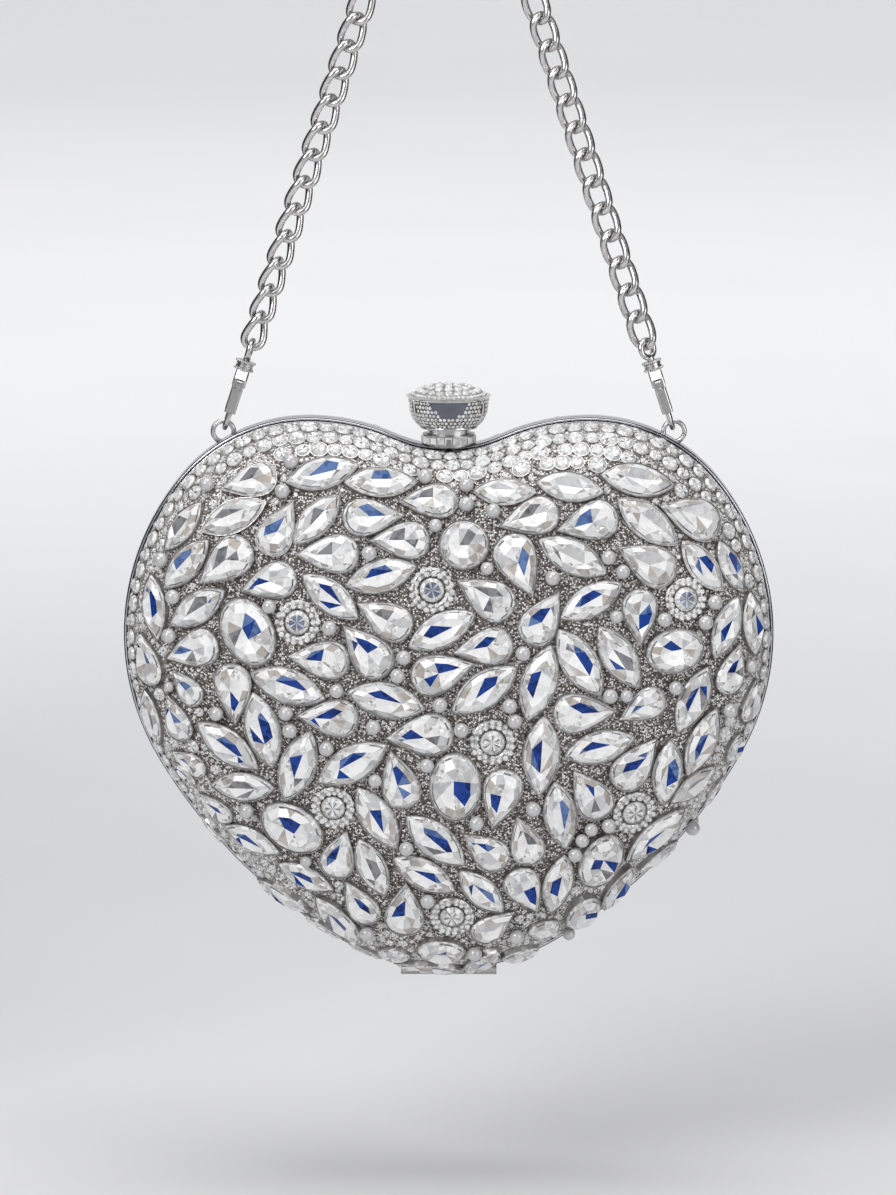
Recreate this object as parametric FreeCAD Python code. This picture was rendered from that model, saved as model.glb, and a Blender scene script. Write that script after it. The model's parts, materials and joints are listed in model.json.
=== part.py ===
import FreeCAD, Part
import math
import os

from FreeCAD import Vector

# A hard heart-shaped evening purse that hangs from its chain strap.
# Millimetres. Origin at the top link of the strap, +X to the viewer's right,
# +Y away from the viewer, +Z up. The case is drawn with its lobe tops at height 0
# and is then lowered to where the strap holds it.

# Rim outline: arcs of the right half, from the cleft down to the tip
LOBE_REACH = 35.0
CLEFT_DEPTH = 7.4
CLEFT_RADIUS = 34.0
OUTER_LOBE_RADIUS = 40.0
OUTER_LOBE_TURN = 50.0
SIDE_RADIUS = 60.7
SIDE_TURN = 70.0
FLANK_RADIUS = 130.0
FLANK_TURN = 29.0

# Shells and linings
DOME_DEPTH = 26.0
DOME_MIDDLE_DROP = 62.0
DOME_ROUNDNESS = 3.0
DOME_STEPS = 9
DOME_STEP_ANGLE = 9.6
DOME_DEGREE = 3
SHELL_WALL = 2.0
LINING_WALL = 1.0
LINING_CLEARANCE = 0.3

# Rim frames
FRAME_THICKNESS = 2.5
FRAME_LIP = 1.2
FRAME_INSET = 4.0
PARTING_GAP = 0.2
RIB_WALL = 1.0
RIB_HEIGHT = 3.0
RIB_CLEARANCE = 0.6

# Tip hinge
HINGE_RADIUS = 1.8
HINGE_ROOM = 0.2
HINGE_PIN_RADIUS = 0.9
HINGE_PIN_CLEARANCE = 0.05
REAR_KNUCKLE_LENGTH = 7.8
FRONT_KNUCKLE_LENGTH = 8.0
KNUCKLE_GAP = 0.2
HINGE_WEB_HEIGHT = 4.0

# Clasp knob
COLLAR_RADIUS = 6.5
COLLAR_HEIGHT = 3.1
COLLAR_FLOOR = 1.0
COLLAR_CLEARANCE = 0.2
NECK_RADIUS = 5.4
NECK_CLEARANCE = 0.1
NECK_LENGTH = 1.6
KNOB_TRAVEL = 1.2
KNOB_RADIUS = 10.6
KNOB_BOWL_HEIGHT = 8.6
KNOB_CAP_RISE = 2.4
KNOB_CAP_WALL = 1.0
KNOB_CAP_CLEARANCE = 0.1
KNOB_BOWL_SHARES = [(0.66, 0.08), (0.82, 0.30), (0.905, 0.62), (0.93, 0.86), (1.0, 0.97)]
STEM_RADIUS = 1.2
STEM_ROOM = 0.4
CLIP_RADIUS = 1.7
CLIP_THICKNESS = 0.5
CLIP_GAP = 0.1
STEM_TAIL = 0.3
SPRING_WIRE = 0.35
SPRING_TURNS = 2.0
SPRING_RADIUS = 3.2
SPRING_COURSE = 8

# Latch
LATCH_WIDTH = 6.0
LATCH_LEAF_THICKNESS = 0.4
LATCH_GAP = 0.1
LATCH_HOOK_HEIGHT = 0.95
LATCH_KEEPER_LENGTH = 0.6
BRACKET_LENGTH = 2.9
RIVET_RADIUS = 0.5
RIVET_HEAD_RADIUS = 0.9
RIVET_HEAD_HEIGHT = 0.4
RIVET_SPREAD = 3.6
RIVET_DEPTH = 0.7

# Ring lugs
RING_RADIUS = 2.6
RING_WIRE_RADIUS = 0.6
RING_TURN = 30.8
RING_RISE = 1.75

# Chain strap
LINK_PITCH = 7.1
LINK_WIRE_RADIUS = 0.95
LINK_WIDTH = 7.0
LINK_GAP = 0.1
LINK_TWIST = 45.0
LINKS_PER_RUN = 16
TOP_TURN_LINKS = 2
TOP_SLACK = 0.4
LINK_COURSE = 20

# Snap hooks, measured along the run from the ring's wire towards the strap's top
HOOK_WIRE_RADIUS = 0.72
HOOK_BEND = 3.0
HOOK_RING_CLEARANCE = 0.2
HOOK_ARM_LENGTH = 8.0
HOOK_ARM_WIDTH = 2.8
HOOK_TIP_LENGTH = 1.05
HOOK_BODY_LENGTH = 4.2
HOOK_BODY_THICKNESS = 3.4
HOOK_BODY_ROUND = 0.5
HOOK_COLLAR_RADIUS = 2.2
HOOK_COLLAR_LENGTH = 2.4
HOOK_COLLAR_GROOVE = 0.3
HOOK_COLLAR_GROOVES = 3
GATE_GAP = 0.2
GATE_RADIUS = 0.7
GATE_STRIP_GAP = 0.5
GATE_SLOT = 1.6
GATE_BOSS_RADIUS = 0.95
GATE_LEVER_LENGTH = 1.7
GATE_PIN_RADIUS = 0.4
GATE_PIN_CLEARANCE = 0.05
GATE_SPRING_THICKNESS = 0.2
SWIVEL_STEM_RADIUS = 0.9
SWIVEL_CLEARANCE = 0.05
SWIVEL_HEAD_RADIUS = 1.3
SWIVEL_HEAD_LENGTH = 0.8
SWIVEL_PLAY = 0.2
EYE_RADIUS = 2.15
EYE_WIRE_RADIUS = 0.75

# Stones
STONE_GAP = 0.3
STONE_SEAT = 0.06
PEARL_RADIUS = 1.85
FLOWER_STONE_RADIUS = 3.0
FLOWER_HALO_RADIUS = 4.5
FLOWER_HALO_WIRE = 0.9
STONE_PROFILE_SHARES = [(0.87, 0.17), (0.62, 0.28)]
SMALL_PROFILE_SHARES = [(0.6, 0.3)]
RIM_STONE_RADII = [2.2, 1.7, 2.0, 1.8]
RIM_ROW_SHARES = [0.985, 0.955, 0.915, 0.87]
RIM_STONE_CORNERS = 6
RIM_WALK_TURN = 0.5
RIM_WALK_START = -25.0
STONE_SHRINK_SHARE = 0.98
STONE_LENGTH_SHARE = 0.98
NAVETTE_WIDTH_SHARE = 0.46
PEAR_WIDTH_SHARE = 0.62
OVAL_WIDTH_SHARE = 0.74
ROUND_WIDTH_SHARE = 1.0
NAVETTE_SHARES = [(-0.5, 0.0), (-0.27, -0.37), (0.0, -0.5), (0.27, -0.37),
                  (0.5, 0.0), (0.27, 0.37), (0.0, 0.5), (-0.27, 0.37)]
PEAR_SHARES = [(-0.5, 0.0), (-0.2, -0.29), (0.14, -0.5), (0.4, -0.36),
               (0.5, 0.0), (0.4, 0.36), (0.14, 0.5), (-0.2, 0.29)]

# Places of the stones as seen in the picture, in its pixels
VIEW_ELEVATION = 9.0
LEFT_EDGE_PX = 128
RIGHT_EDGE_PX = 769.4
LOBE_TOP_PX = 420
# from one tip to the other: left, top, right, bottom
NAVETTE_TIPS_PX = [
    (286, 486, 361, 468), (344, 486, 417, 485), (168, 552, 206, 503), (202, 533, 272, 503),
    (294, 547, 343, 494), (167, 589, 213, 540), (303, 573, 361, 620), (346, 586, 418, 566),
    (155, 573, 162, 641), (173, 625, 229, 590), (406, 648, 478, 611), (470, 493, 540, 496),
    (532, 484, 605, 495), (596, 477, 673, 489), (613, 499, 676, 547), (675, 538, 722, 595),
    (713, 538, 741, 596), (535, 539, 607, 575), (557, 619, 622, 582), (736, 592, 709, 662),
    (745, 587, 752, 659), (556, 627, 600, 696), (595, 622, 639, 690), (449, 713, 519, 664),
    (550, 643, 526, 720), (706, 664, 675, 732), (714, 704, 684, 776), (560, 755, 636, 735),
    (668, 733, 661, 807), (543, 713, 538, 794), (553, 777, 565, 848), (716, 763, 666, 803),
    (722, 774, 703, 808), (623, 859, 683, 806), (636, 868, 680, 843), (406, 813, 465, 863),
    (455, 863, 507, 914), (563, 851, 550, 911), (629, 859, 600, 911), (498, 946, 466, 980),
    (393, 967, 461, 977), (251, 671, 328, 698), (347, 690, 427, 708), (148, 687, 162, 744),
    (199, 720, 261, 767), (255, 689, 275, 767), (313, 727, 286, 800), (318, 781, 389, 742),
    (213, 783, 278, 785), (167, 754, 206, 791), (200, 813, 228, 845), (224, 822, 285, 852),
    (357, 783, 399, 849), (358, 832, 388, 898), (270, 857, 344, 892), (257, 878, 313, 910),
    (317, 893, 363, 942), (302, 912, 340, 946), (390, 853, 459, 891), (345, 943, 384, 965),
]
# from the tip to the round end
PEAR_TIPS_PX = [
    (222, 493, 282, 476), (297, 500, 267, 557), (201, 585, 253, 543), (240, 592, 300, 574),
    (296, 555, 361, 554), (168, 658, 222, 641), (407, 517, 342, 520), (395, 504, 460, 502),
    (367, 542, 431, 541), (533, 599, 505, 535), (496, 529, 559, 511), (551, 533, 619, 515),
    (653, 507, 717, 529), (612, 546, 674, 578), (454, 578, 514, 613), (560, 588, 525, 645),
    (638, 652, 637, 583), (738, 637, 720, 698), (617, 709, 551, 713), (609, 723, 669, 689),
    (753, 677, 744, 722), (657, 733, 613, 788), (491, 830, 508, 765), (570, 765, 605, 817),
    (514, 808, 534, 867), (458, 828, 510, 866), (538, 911, 512, 866), (519, 905, 469, 940),
    (407, 876, 404, 934), (350, 822, 332, 880), (346, 877, 374, 922), (199, 790, 235, 821),
    (165, 742, 219, 777), (238, 727, 234, 659), (287, 655, 352, 661), (294, 714, 363, 718),
    (384, 737, 454, 731), (389, 742, 409, 812), (341, 621, 391, 676), (353, 600, 415, 634),
    (448, 653, 516, 641), (478, 662, 410, 680), (169, 660, 209, 711), (170, 691, 188, 741),
    (144, 631, 158, 686),
]
OVAL_TIPS_PX = [
    (233, 598, 268, 664), (643, 655, 701, 645), (455, 747, 455, 822), (729, 762, 737, 732),
    (610, 830, 588, 886), (580, 888, 578, 927), (527, 930, 559, 925), (416, 947, 467, 951),
    (501, 955, 538, 952), (378, 952, 411, 955), (263, 807, 325, 843),
]
ROUND_TIPS_PX = [(435, 546, 493, 546)]
FLOWER_MIDDLES_PX = [(299, 622), (432, 590), (683, 599), (334, 806), (492, 741), (633, 811), (452, 915)]
PEARL_MIDDLES_PX = [
    (212, 488), (285, 494), (293, 466), (167, 561), (178, 597), (174, 635), (272, 606), (331, 627),
    (424, 482), (467, 508), (435, 528), (467, 490), (494, 514), (370, 554), (487, 569), (551, 578),
    (606, 558), (620, 572), (614, 616), (661, 619), (710, 602), (701, 622), (608, 694), (624, 694),
    (672, 686), (746, 665), (725, 708), (589, 826), (606, 822), (580, 837), (573, 851), (566, 930),
    (407, 845), (476, 820), (428, 897), (369, 929), (474, 949), (515, 932), (532, 806), (173, 685),
    (220, 711), (288, 711), (292, 728), (338, 689), (328, 746), (250, 807), (374, 725), (376, 778),
    (404, 656), (398, 674), (440, 703), (461, 728), (427, 763), (522, 652), (509, 704), (514, 719),
    (690, 826), (308, 858),
]

# How finely round wire is drawn
WIRE_ROUND = 8
WIRE_DEGREE = 3

# One overrun for every cut that has to pass right through
OVERRUN = 1.0

# How finely places on the dome are searched
SLOPE_STEP = 0.026
SIGHT_STRIDE = 1.3
SETTLE_ROUNDS = 16
ANGLE_SLACK = 1e-6

X_AXIS = Vector(1, 0, 0)
Y_AXIS = Vector(0, 1, 0)
Z_AXIS = Vector(0, 0, 1)

# Where the two halves meet, with the rear frame's middle on the strap's plane
PARTING_Y = -FRAME_THICKNESS / 2 - PARTING_GAP / 2
REAR_FACE_Y = FRAME_THICKNESS / 2
FRONT_FACE_Y = PARTING_Y - PARTING_GAP / 2 - FRAME_THICKNESS
CLEFT_LIP_Z = FRAME_LIP - CLEFT_DEPTH


def compass(angle):
    """Unit step in the rim's plane, with the angle counted from +X towards +Z."""
    return Vector(math.cos(math.radians(angle)), 0, math.sin(math.radians(angle)))


def rim_arcs():
    """Arcs of the right half of the rim: (middle, radius, first angle, last angle, bulge)."""
    cleft_turn = math.degrees(2 * math.atan(CLEFT_DEPTH / LOBE_REACH))
    inner_lobe_radius = LOBE_REACH / math.sin(math.radians(cleft_turn)) - CLEFT_RADIUS
    arcs = [(Vector(0, 0, CLEFT_RADIUS - CLEFT_DEPTH), CLEFT_RADIUS, -90, cleft_turn - 90, -1)]
    arcs.append((Vector(LOBE_REACH, 0, -inner_lobe_radius), inner_lobe_radius, 90 + cleft_turn, 90, 1))
    place = Vector(LOBE_REACH, 0, 0)
    angle = 90
    turns = [(OUTER_LOBE_RADIUS, OUTER_LOBE_TURN), (SIDE_RADIUS, SIDE_TURN), (FLANK_RADIUS, FLANK_TURN)]
    for radius, turn in turns:
        middle = place - compass(angle) * radius
        arcs.append((middle, radius, angle, angle - turn, 1))
        angle -= turn
        place = middle + compass(angle) * radius
    tip_radius = place.x / math.cos(math.radians(angle))
    arcs.append((place - compass(angle) * tip_radius, tip_radius, angle, -90, 1))
    return arcs


RIM = rim_arcs()
TIP_Z = RIM[-1][0].z - RIM[-1][1]
HALF_WIDTH = RIM[3][0].x + RIM[3][1]
DOME_MIDDLE = Vector(0, 0, -DOME_MIDDLE_DROP)
PIXEL = 2 * HALF_WIDTH / (RIGHT_EDGE_PX - LEFT_EDGE_PX)
MIDDLE_PX = (LEFT_EDGE_PX + RIGHT_EDGE_PX) / 2


def heart_wire(inset, share, height_y):
    """The rim outline set in by inset, shrunk to share about the dome's middle, at height_y."""

    def spot(middle, radius, angle, side):
        point = DOME_MIDDLE + (middle + compass(angle) * radius - DOME_MIDDLE) * share
        return Vector(side * point.x, height_y, point.z)

    edges = []
    for side, arcs in ((1, RIM), (-1, RIM[::-1])):
        for middle, radius, first, last, bulge in arcs:
            set_in = radius - bulge * inset
            ends = [spot(middle, set_in, angle, side) for angle in (first, (first + last) / 2, last)]
            if side < 0:
                ends.reverse()
            edges.append(Part.Arc(*ends).toShape())
    return Part.Wire(edges)


def heart_plate(inset, low_y, high_y):
    """A flat heart between two heights."""
    return Part.Face(heart_wire(inset, 1, low_y)).extrude(Vector(0, high_y - low_y, 0))


def dome(inset, rim_y, depth, toward):
    """A pillowed heart that rises from the rim at rim_y, towards +Y or -Y."""
    sections = []
    for step in range(DOME_STEPS + 1):
        angle = math.radians(step * DOME_STEP_ANGLE)
        share = math.cos(angle) ** (2 / DOME_ROUNDNESS)
        sections.append(heart_wire(inset, share, rim_y + toward * depth * math.sin(angle)))
    return Part.makeLoft(sections, True, False, False, DOME_DEGREE)


def make_shell(rim_y, toward):
    """A domed half of the case, open at its rim."""
    return dome(0, rim_y, DOME_DEPTH, toward).cut(dome(SHELL_WALL, rim_y, DOME_DEPTH - SHELL_WALL, toward))


def make_lining(rim_y, toward):
    """The lining of one half, which starts just above the frame's rib."""
    outside = SHELL_WALL + LINING_CLEARANCE
    inside = outside + LINING_WALL
    lining = dome(outside, rim_y, DOME_DEPTH - outside, toward)
    lining = lining.cut(dome(inside, rim_y, DOME_DEPTH - inside, toward))
    mouth_y = rim_y + toward * (RIB_HEIGHT + LINING_CLEARANCE)
    mouth = heart_plate(-FRAME_LIP, rim_y - toward * OVERRUN, mouth_y)
    return lining.cut(mouth)


def make_frame(rim_y, toward):
    """A flat heart ring with a rib that stands inside the shell's mouth."""
    flat_y = rim_y - toward * FRAME_THICKNESS
    frame = heart_plate(-FRAME_LIP, flat_y, rim_y)
    frame = frame.cut(heart_plate(FRAME_INSET, flat_y - toward * OVERRUN, rim_y + toward * OVERRUN))
    rib_outside = SHELL_WALL + RIB_CLEARANCE
    rib_end = rim_y + toward * RIB_HEIGHT
    rib = heart_plate(rib_outside, rim_y, rib_end)
    rib = rib.cut(heart_plate(rib_outside + RIB_WALL, rim_y - toward * OVERRUN, rib_end + toward * OVERRUN))
    frame = frame.fuse(rib).removeSplitter()
    hinge_span = 2 * REAR_KNUCKLE_LENGTH + FRONT_KNUCKLE_LENGTH + 4 * KNUCKLE_GAP
    notch = Part.makeCylinder(HINGE_RADIUS + HINGE_ROOM, hinge_span, hinge_spot(-hinge_span / 2), X_AXIS)
    frame = frame.cut(notch)
    stem_length = FRAME_LIP + FRAME_INSET + 2 * OVERRUN
    return frame.cut(Part.makeCylinder(STEM_RADIUS + STEM_ROOM, stem_length, clasp_spot(OVERRUN), -Z_AXIS))


def hinge_spot(x):
    """A point on the hinge's axis, at the tip of the frames."""
    return Vector(x, PARTING_Y, TIP_Z - FRAME_LIP)


def make_knuckle(x, length, toward, frame):
    """One hinge knuckle with the web that carries it on its frame."""
    barrel = Part.makeCylinder(HINGE_RADIUS, length, hinge_spot(x), X_AXIS)
    web_depth = FRAME_THICKNESS
    near_y = PARTING_Y + toward * PARTING_GAP / 2
    far_y = near_y + toward * web_depth
    corner = Vector(x, min(near_y, far_y), TIP_Z - FRAME_LIP)
    web = Part.makeBox(length, web_depth, HINGE_WEB_HEIGHT, corner)
    web = web.cut(heart_plate(FRAME_INSET - OVERRUN, FRONT_FACE_Y - OVERRUN, REAR_FACE_Y + OVERRUN))
    knuckle = barrel.fuse(web).cut(frame).removeSplitter()
    bore = HINGE_PIN_RADIUS + HINGE_PIN_CLEARANCE
    return knuckle.cut(Part.makeCylinder(bore, length + 2 * OVERRUN, hinge_spot(x - OVERRUN), X_AXIS))


def make_hinge_pin():
    """The pin through all three knuckles."""
    length = 2 * REAR_KNUCKLE_LENGTH + FRONT_KNUCKLE_LENGTH + 2 * KNUCKLE_GAP
    return Part.makeCylinder(HINGE_PIN_RADIUS, length, hinge_spot(-length / 2), X_AXIS)


def wire_about_z(course, radius, closed):
    """Round wire along points that go round the Z axis, closed on itself or with flat ends."""
    swell = 3 / (2 + math.cos(2 * math.pi / WIRE_ROUND))
    last = len(course) - 1
    poles = []
    for step, point in enumerate(course):
        before = course[step - 1] if closed else course[max(step - 1, 0)]
        after = course[(step + 1) % len(course)] if closed else course[min(step + 1, last)]
        heading = (after - before).normalize()
        sideways = heading.cross(point - Vector(0, 0, point.z)).normalize()
        upright = sideways.cross(heading)
        row = []
        for turn in range(WIRE_ROUND):
            angle = 2 * math.pi * turn / WIRE_ROUND
            spoke = upright * math.cos(angle) + sideways * math.sin(angle)
            row.append(point + spoke * (radius * swell))
        poles.append(row)
    course_counts = [1] * (len(course) + 1)
    if not closed:
        course_counts = [WIRE_DEGREE + 1] + [1] * (last - WIRE_DEGREE) + [WIRE_DEGREE + 1]
    round_counts = [1] * (WIRE_ROUND + 1)
    knots = [list(range(len(counts))) for counts in (course_counts, round_counts)]
    skin = Part.BSplineSurface()
    degrees = (WIRE_DEGREE, WIRE_DEGREE)
    skin.buildFromPolesMultsKnots(poles, course_counts, round_counts, *knots, closed, True, *degrees)
    tube = skin.toShape()
    shell = Part.Shell([tube])
    if not closed:
        ends = [edge for edge in tube.Edges if edge.isClosed()]
        shell = Part.Shell([tube] + [Part.Face(Part.Wire(edge)) for edge in ends])
        shell.sewShape()
    solid = Part.Solid(shell)
    if solid.Volume < 0:
        solid.reverse()
    return solid


def clasp_spot(height):
    """A point on the knob's axis, at a height above the frames' lip in the cleft."""
    return Vector(0, PARTING_Y, CLEFT_LIP_Z + height)


def spun(outline):
    """A solid turned about the knob's axis from (radius, height) corners and curves."""
    face = Part.Face(Part.Wire(outline))
    return face.revolve(clasp_spot(0), Z_AXIS, 360)


def profile_point(radius, height):
    """A corner of a turned profile."""
    return Vector(radius, PARTING_Y, CLEFT_LIP_Z + height)


def profile_lines(corners):
    """Straight edges through the corners of a turned profile."""
    points = [profile_point(*corner) for corner in corners]
    return [Part.LineSegment(a, b).toShape() for a, b in zip(points, points[1:])]


def make_collar(rear_frame):
    """The ferrule on the rear frame that guides the knob, clear of the front frame."""
    collar = Part.makeCylinder(COLLAR_RADIUS, COLLAR_HEIGHT, clasp_spot(0))
    bore = Part.makeCylinder(NECK_RADIUS + NECK_CLEARANCE, COLLAR_HEIGHT, clasp_spot(COLLAR_FLOOR))
    hole = Part.makeCylinder(STEM_RADIUS + STEM_ROOM, COLLAR_HEIGHT, clasp_spot(0))
    clear_y = PARTING_Y - COLLAR_RADIUS - OVERRUN
    front_room = heart_plate(-FRAME_LIP - COLLAR_CLEARANCE, clear_y, PARTING_Y)
    return collar.cut(bore).cut(hole).cut(rear_frame).cut(front_room)


BOWL_BOTTOM = COLLAR_HEIGHT + KNOB_TRAVEL
NECK_BOTTOM = BOWL_BOTTOM - NECK_LENGTH
KNOB_RIM = BOWL_BOTTOM + KNOB_BOWL_HEIGHT
CAP_RADIUS = KNOB_RADIUS - KNOB_CAP_WALL
CAP_SEAT = KNOB_RIM - KNOB_CAP_WALL


def make_knob_cup():
    """The flared cup of the knob, with the neck that slides in the collar."""
    lower = profile_lines([(0, NECK_BOTTOM), (NECK_RADIUS, NECK_BOTTOM), (NECK_RADIUS, BOWL_BOTTOM)])
    bowl_points = [profile_point(NECK_RADIUS, BOWL_BOTTOM)]
    for radius_share, height_share in KNOB_BOWL_SHARES:
        height = BOWL_BOTTOM + height_share * KNOB_BOWL_HEIGHT
        bowl_points.append(profile_point(radius_share * KNOB_RADIUS, height))
    bowl = Part.BSplineCurve()
    bowl.interpolate(bowl_points)
    lip_height = BOWL_BOTTOM + KNOB_BOWL_SHARES[-1][1] * KNOB_BOWL_HEIGHT
    upper = profile_lines([(KNOB_RADIUS, lip_height), (CAP_RADIUS, KNOB_RIM), (CAP_RADIUS, CAP_SEAT),
                           (0, CAP_SEAT), (0, NECK_BOTTOM)])
    return spun(lower + [bowl.toShape()] + upper)


def make_knob_cap():
    """The domed cap, set in the cup's mouth."""
    radius = CAP_RADIUS - KNOB_CAP_CLEARANCE
    ball_radius = (radius * radius + KNOB_CAP_RISE * KNOB_CAP_RISE) / (2 * KNOB_CAP_RISE)
    cap = Part.makeCylinder(radius, KNOB_CAP_WALL + KNOB_CAP_RISE, clasp_spot(CAP_SEAT))
    ball = Part.makeSphere(ball_radius, clasp_spot(KNOB_RIM + KNOB_CAP_RISE - ball_radius))
    return cap.common(ball)


CLIP_TOP = -FRAME_LIP - FRAME_INSET - CLIP_GAP
STEM_BOTTOM = CLIP_TOP - CLIP_THICKNESS - STEM_TAIL


def make_knob_stem():
    """The stem from the knob's neck down to the latch leaf."""
    return Part.makeCylinder(STEM_RADIUS, NECK_BOTTOM - STEM_BOTTOM, clasp_spot(STEM_BOTTOM))


def make_stem_clip():
    """The ring that keeps the stem from being pulled out."""
    clip = Part.makeCylinder(CLIP_RADIUS, CLIP_THICKNESS, clasp_spot(CLIP_TOP - CLIP_THICKNESS))
    return clip.cut(Part.makeCylinder(STEM_RADIUS, CLIP_THICKNESS, clasp_spot(CLIP_TOP - CLIP_THICKNESS)))


def make_return_spring():
    """The coil between the collar's floor and the neck."""
    radius = SPRING_WIRE / 2
    bottom = COLLAR_FLOOR + radius + LATCH_GAP
    height = NECK_BOTTOM - COLLAR_FLOOR - SPRING_WIRE - 2 * LATCH_GAP
    steps = round(SPRING_TURNS * SPRING_COURSE)
    course = []
    for step in range(steps + 1):
        spoke = compass(360 * step / SPRING_COURSE) * SPRING_RADIUS
        course.append(Vector(spoke.x, spoke.z, height * step / steps))
    coil = wire_about_z(course, radius, False)
    coil.translate(clasp_spot(bottom))
    return coil


LEAF_TOP = STEM_BOTTOM - LATCH_GAP
BRACKET_NEAR_Y = REAR_FACE_Y + LATCH_GAP
BRACKET_FAR_Y = BRACKET_NEAR_Y + BRACKET_LENGTH
KEEPER_FAR_Y = PARTING_Y - CLIP_RADIUS - LATCH_GAP
KEEPER_NEAR_Y = KEEPER_FAR_Y - LATCH_KEEPER_LENGTH
LEAF_NEAR_Y = KEEPER_NEAR_Y - LATCH_GAP - LATCH_LEAF_THICKNESS


def latch_box(low_y, high_y, low, high):
    """A block as wide as the latch, between two heights above the lip in the cleft."""
    corner = Vector(-LATCH_WIDTH / 2, low_y, CLEFT_LIP_Z + low)
    return Part.makeBox(LATCH_WIDTH, high_y - low_y, high - low, corner)


def rivet_spots(height):
    """Places of the two rivets, at a height above the lip in the cleft."""
    y = (BRACKET_NEAR_Y + BRACKET_FAR_Y) / 2
    return [Vector(side * RIVET_SPREAD / 2, y, CLEFT_LIP_Z + height) for side in (-1, 1)]


def make_latch_leaf():
    """The flat spring with a hook at its front end."""
    bottom = LEAF_TOP - LATCH_LEAF_THICKNESS
    leaf = latch_box(LEAF_NEAR_Y, BRACKET_FAR_Y, bottom, LEAF_TOP)
    hook = latch_box(LEAF_NEAR_Y, LEAF_NEAR_Y + LATCH_LEAF_THICKNESS, bottom, LEAF_TOP + LATCH_HOOK_HEIGHT)
    leaf = leaf.fuse(hook).removeSplitter()
    for spot in rivet_spots(bottom):
        leaf = leaf.cut(Part.makeCylinder(RIVET_RADIUS, LATCH_LEAF_THICKNESS, spot))
    return leaf


def make_latch_bracket(rear_frame):
    """The block under the rear rib that carries the leaf."""
    bracket = latch_box(BRACKET_NEAR_Y, BRACKET_FAR_Y, LEAF_TOP, -FRAME_LIP - SHELL_WALL - RIB_CLEARANCE)
    bracket = bracket.cut(rear_frame)
    bracket = max(bracket.Solids, key=lambda solid: -solid.CenterOfMass.z)
    for spot in rivet_spots(LEAF_TOP):
        bracket = bracket.cut(Part.makeCylinder(RIVET_RADIUS, RIVET_DEPTH, spot))
    return bracket


def make_latch_rivets():
    """Two round-headed rivets that hold the leaf under its bracket."""
    rivets = []
    bottom = LEAF_TOP - LATCH_LEAF_THICKNESS
    for spot in rivet_spots(bottom):
        shank = Part.makeCylinder(RIVET_RADIUS, LATCH_LEAF_THICKNESS + RIVET_DEPTH, spot)
        head = Part.makeCylinder(RIVET_HEAD_RADIUS, RIVET_HEAD_HEIGHT, spot, -Z_AXIS)
        rivets.append(shank.fuse(head).removeSplitter())
    return rivets


def make_latch_keeper(front_frame):
    """The ledge under the front frame that the leaf's hook holds."""
    low = LEAF_TOP + LATCH_GAP
    return latch_box(KEEPER_NEAR_Y, KEEPER_FAR_Y, low, -FRAME_LIP).cut(front_frame)


LOBE_LIP_RADIUS = OUTER_LOBE_RADIUS + FRAME_LIP
RING_REACH = LOBE_REACH + LOBE_LIP_RADIUS * math.sin(math.radians(RING_TURN))
RING_FOOT_Z = RIM[2][0].z + LOBE_LIP_RADIUS * math.cos(math.radians(RING_TURN))
RING_MIDDLE_Z = RING_FOOT_Z + RING_RISE


def make_ring_lug(side, rear_frame):
    """A ring soldered on the rear frame's lip, cut off where it meets it."""
    ring = Part.makeTorus(RING_RADIUS, RING_WIRE_RADIUS, Vector(side * RING_REACH, 0, RING_MIDDLE_Z), Y_AXIS)
    pieces = ring.cut(rear_frame).Solids
    return max(pieces, key=lambda solid: solid.CenterOfMass.z)


# The strap's geometry sets how far the case hangs below its top link
HOOK_BEND_MIDDLE = HOOK_BEND - HOOK_WIRE_RADIUS - RING_WIRE_RADIUS - HOOK_RING_CLEARANCE
HOOK_BODY_START = HOOK_BEND_MIDDLE + HOOK_ARM_LENGTH
HOOK_COLLAR_START = HOOK_BODY_START + HOOK_BODY_LENGTH
HOOK_TOP = HOOK_COLLAR_START + HOOK_COLLAR_LENGTH
EYE_MIDDLE = HOOK_TOP + SWIVEL_PLAY + EYE_WIRE_RADIUS + EYE_RADIUS
RUN_END = EYE_MIDDLE + EYE_RADIUS - EYE_WIRE_RADIUS - LINK_GAP / 2
RUN_LENGTH = LINKS_PER_RUN * LINK_PITCH + RUN_END


def over_top(lean):
    """Middles and leans of the right-hand links that turn the strap over its top, then the run's start."""
    turn = (90 - lean) / (TOP_TURN_LINKS + 1)
    links = []
    place = X_AXIS * (LINK_PITCH / 2)
    for count in range(1, TOP_TURN_LINKS + 1):
        place = place - compass(turn / 2 - count * turn) * TOP_SLACK
        step = compass(-count * turn) * LINK_PITCH
        links.append((place + step / 2, 90 - count * turn))
        place = place + step
    return links, place - compass(lean + turn / 2 - 90) * TOP_SLACK


def run_lean():
    """Angle from upright at which a run reaches its ring."""
    lean = 0
    for count in range(SETTLE_ROUNDS):
        reach = RING_REACH - over_top(lean)[1].x
        lean = math.degrees(math.asin(reach / (RUN_LENGTH + RING_RADIUS)))
    return lean


RUN_LEAN = run_lean()
TOP_LINKS, RUN_START = over_top(RUN_LEAN)
RUN_HEADING = compass(RUN_LEAN - 90)
CASE_DROP = RING_MIDDLE_Z - RUN_START.z - RUN_HEADING.z * (RUN_LENGTH + RING_RADIUS)


def on_case(shape):
    """Lower a piece of the case to where the strap holds it."""
    lowered = shape.copy()
    lowered.translate(Vector(0, 0, -CASE_DROP))
    return lowered


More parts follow.
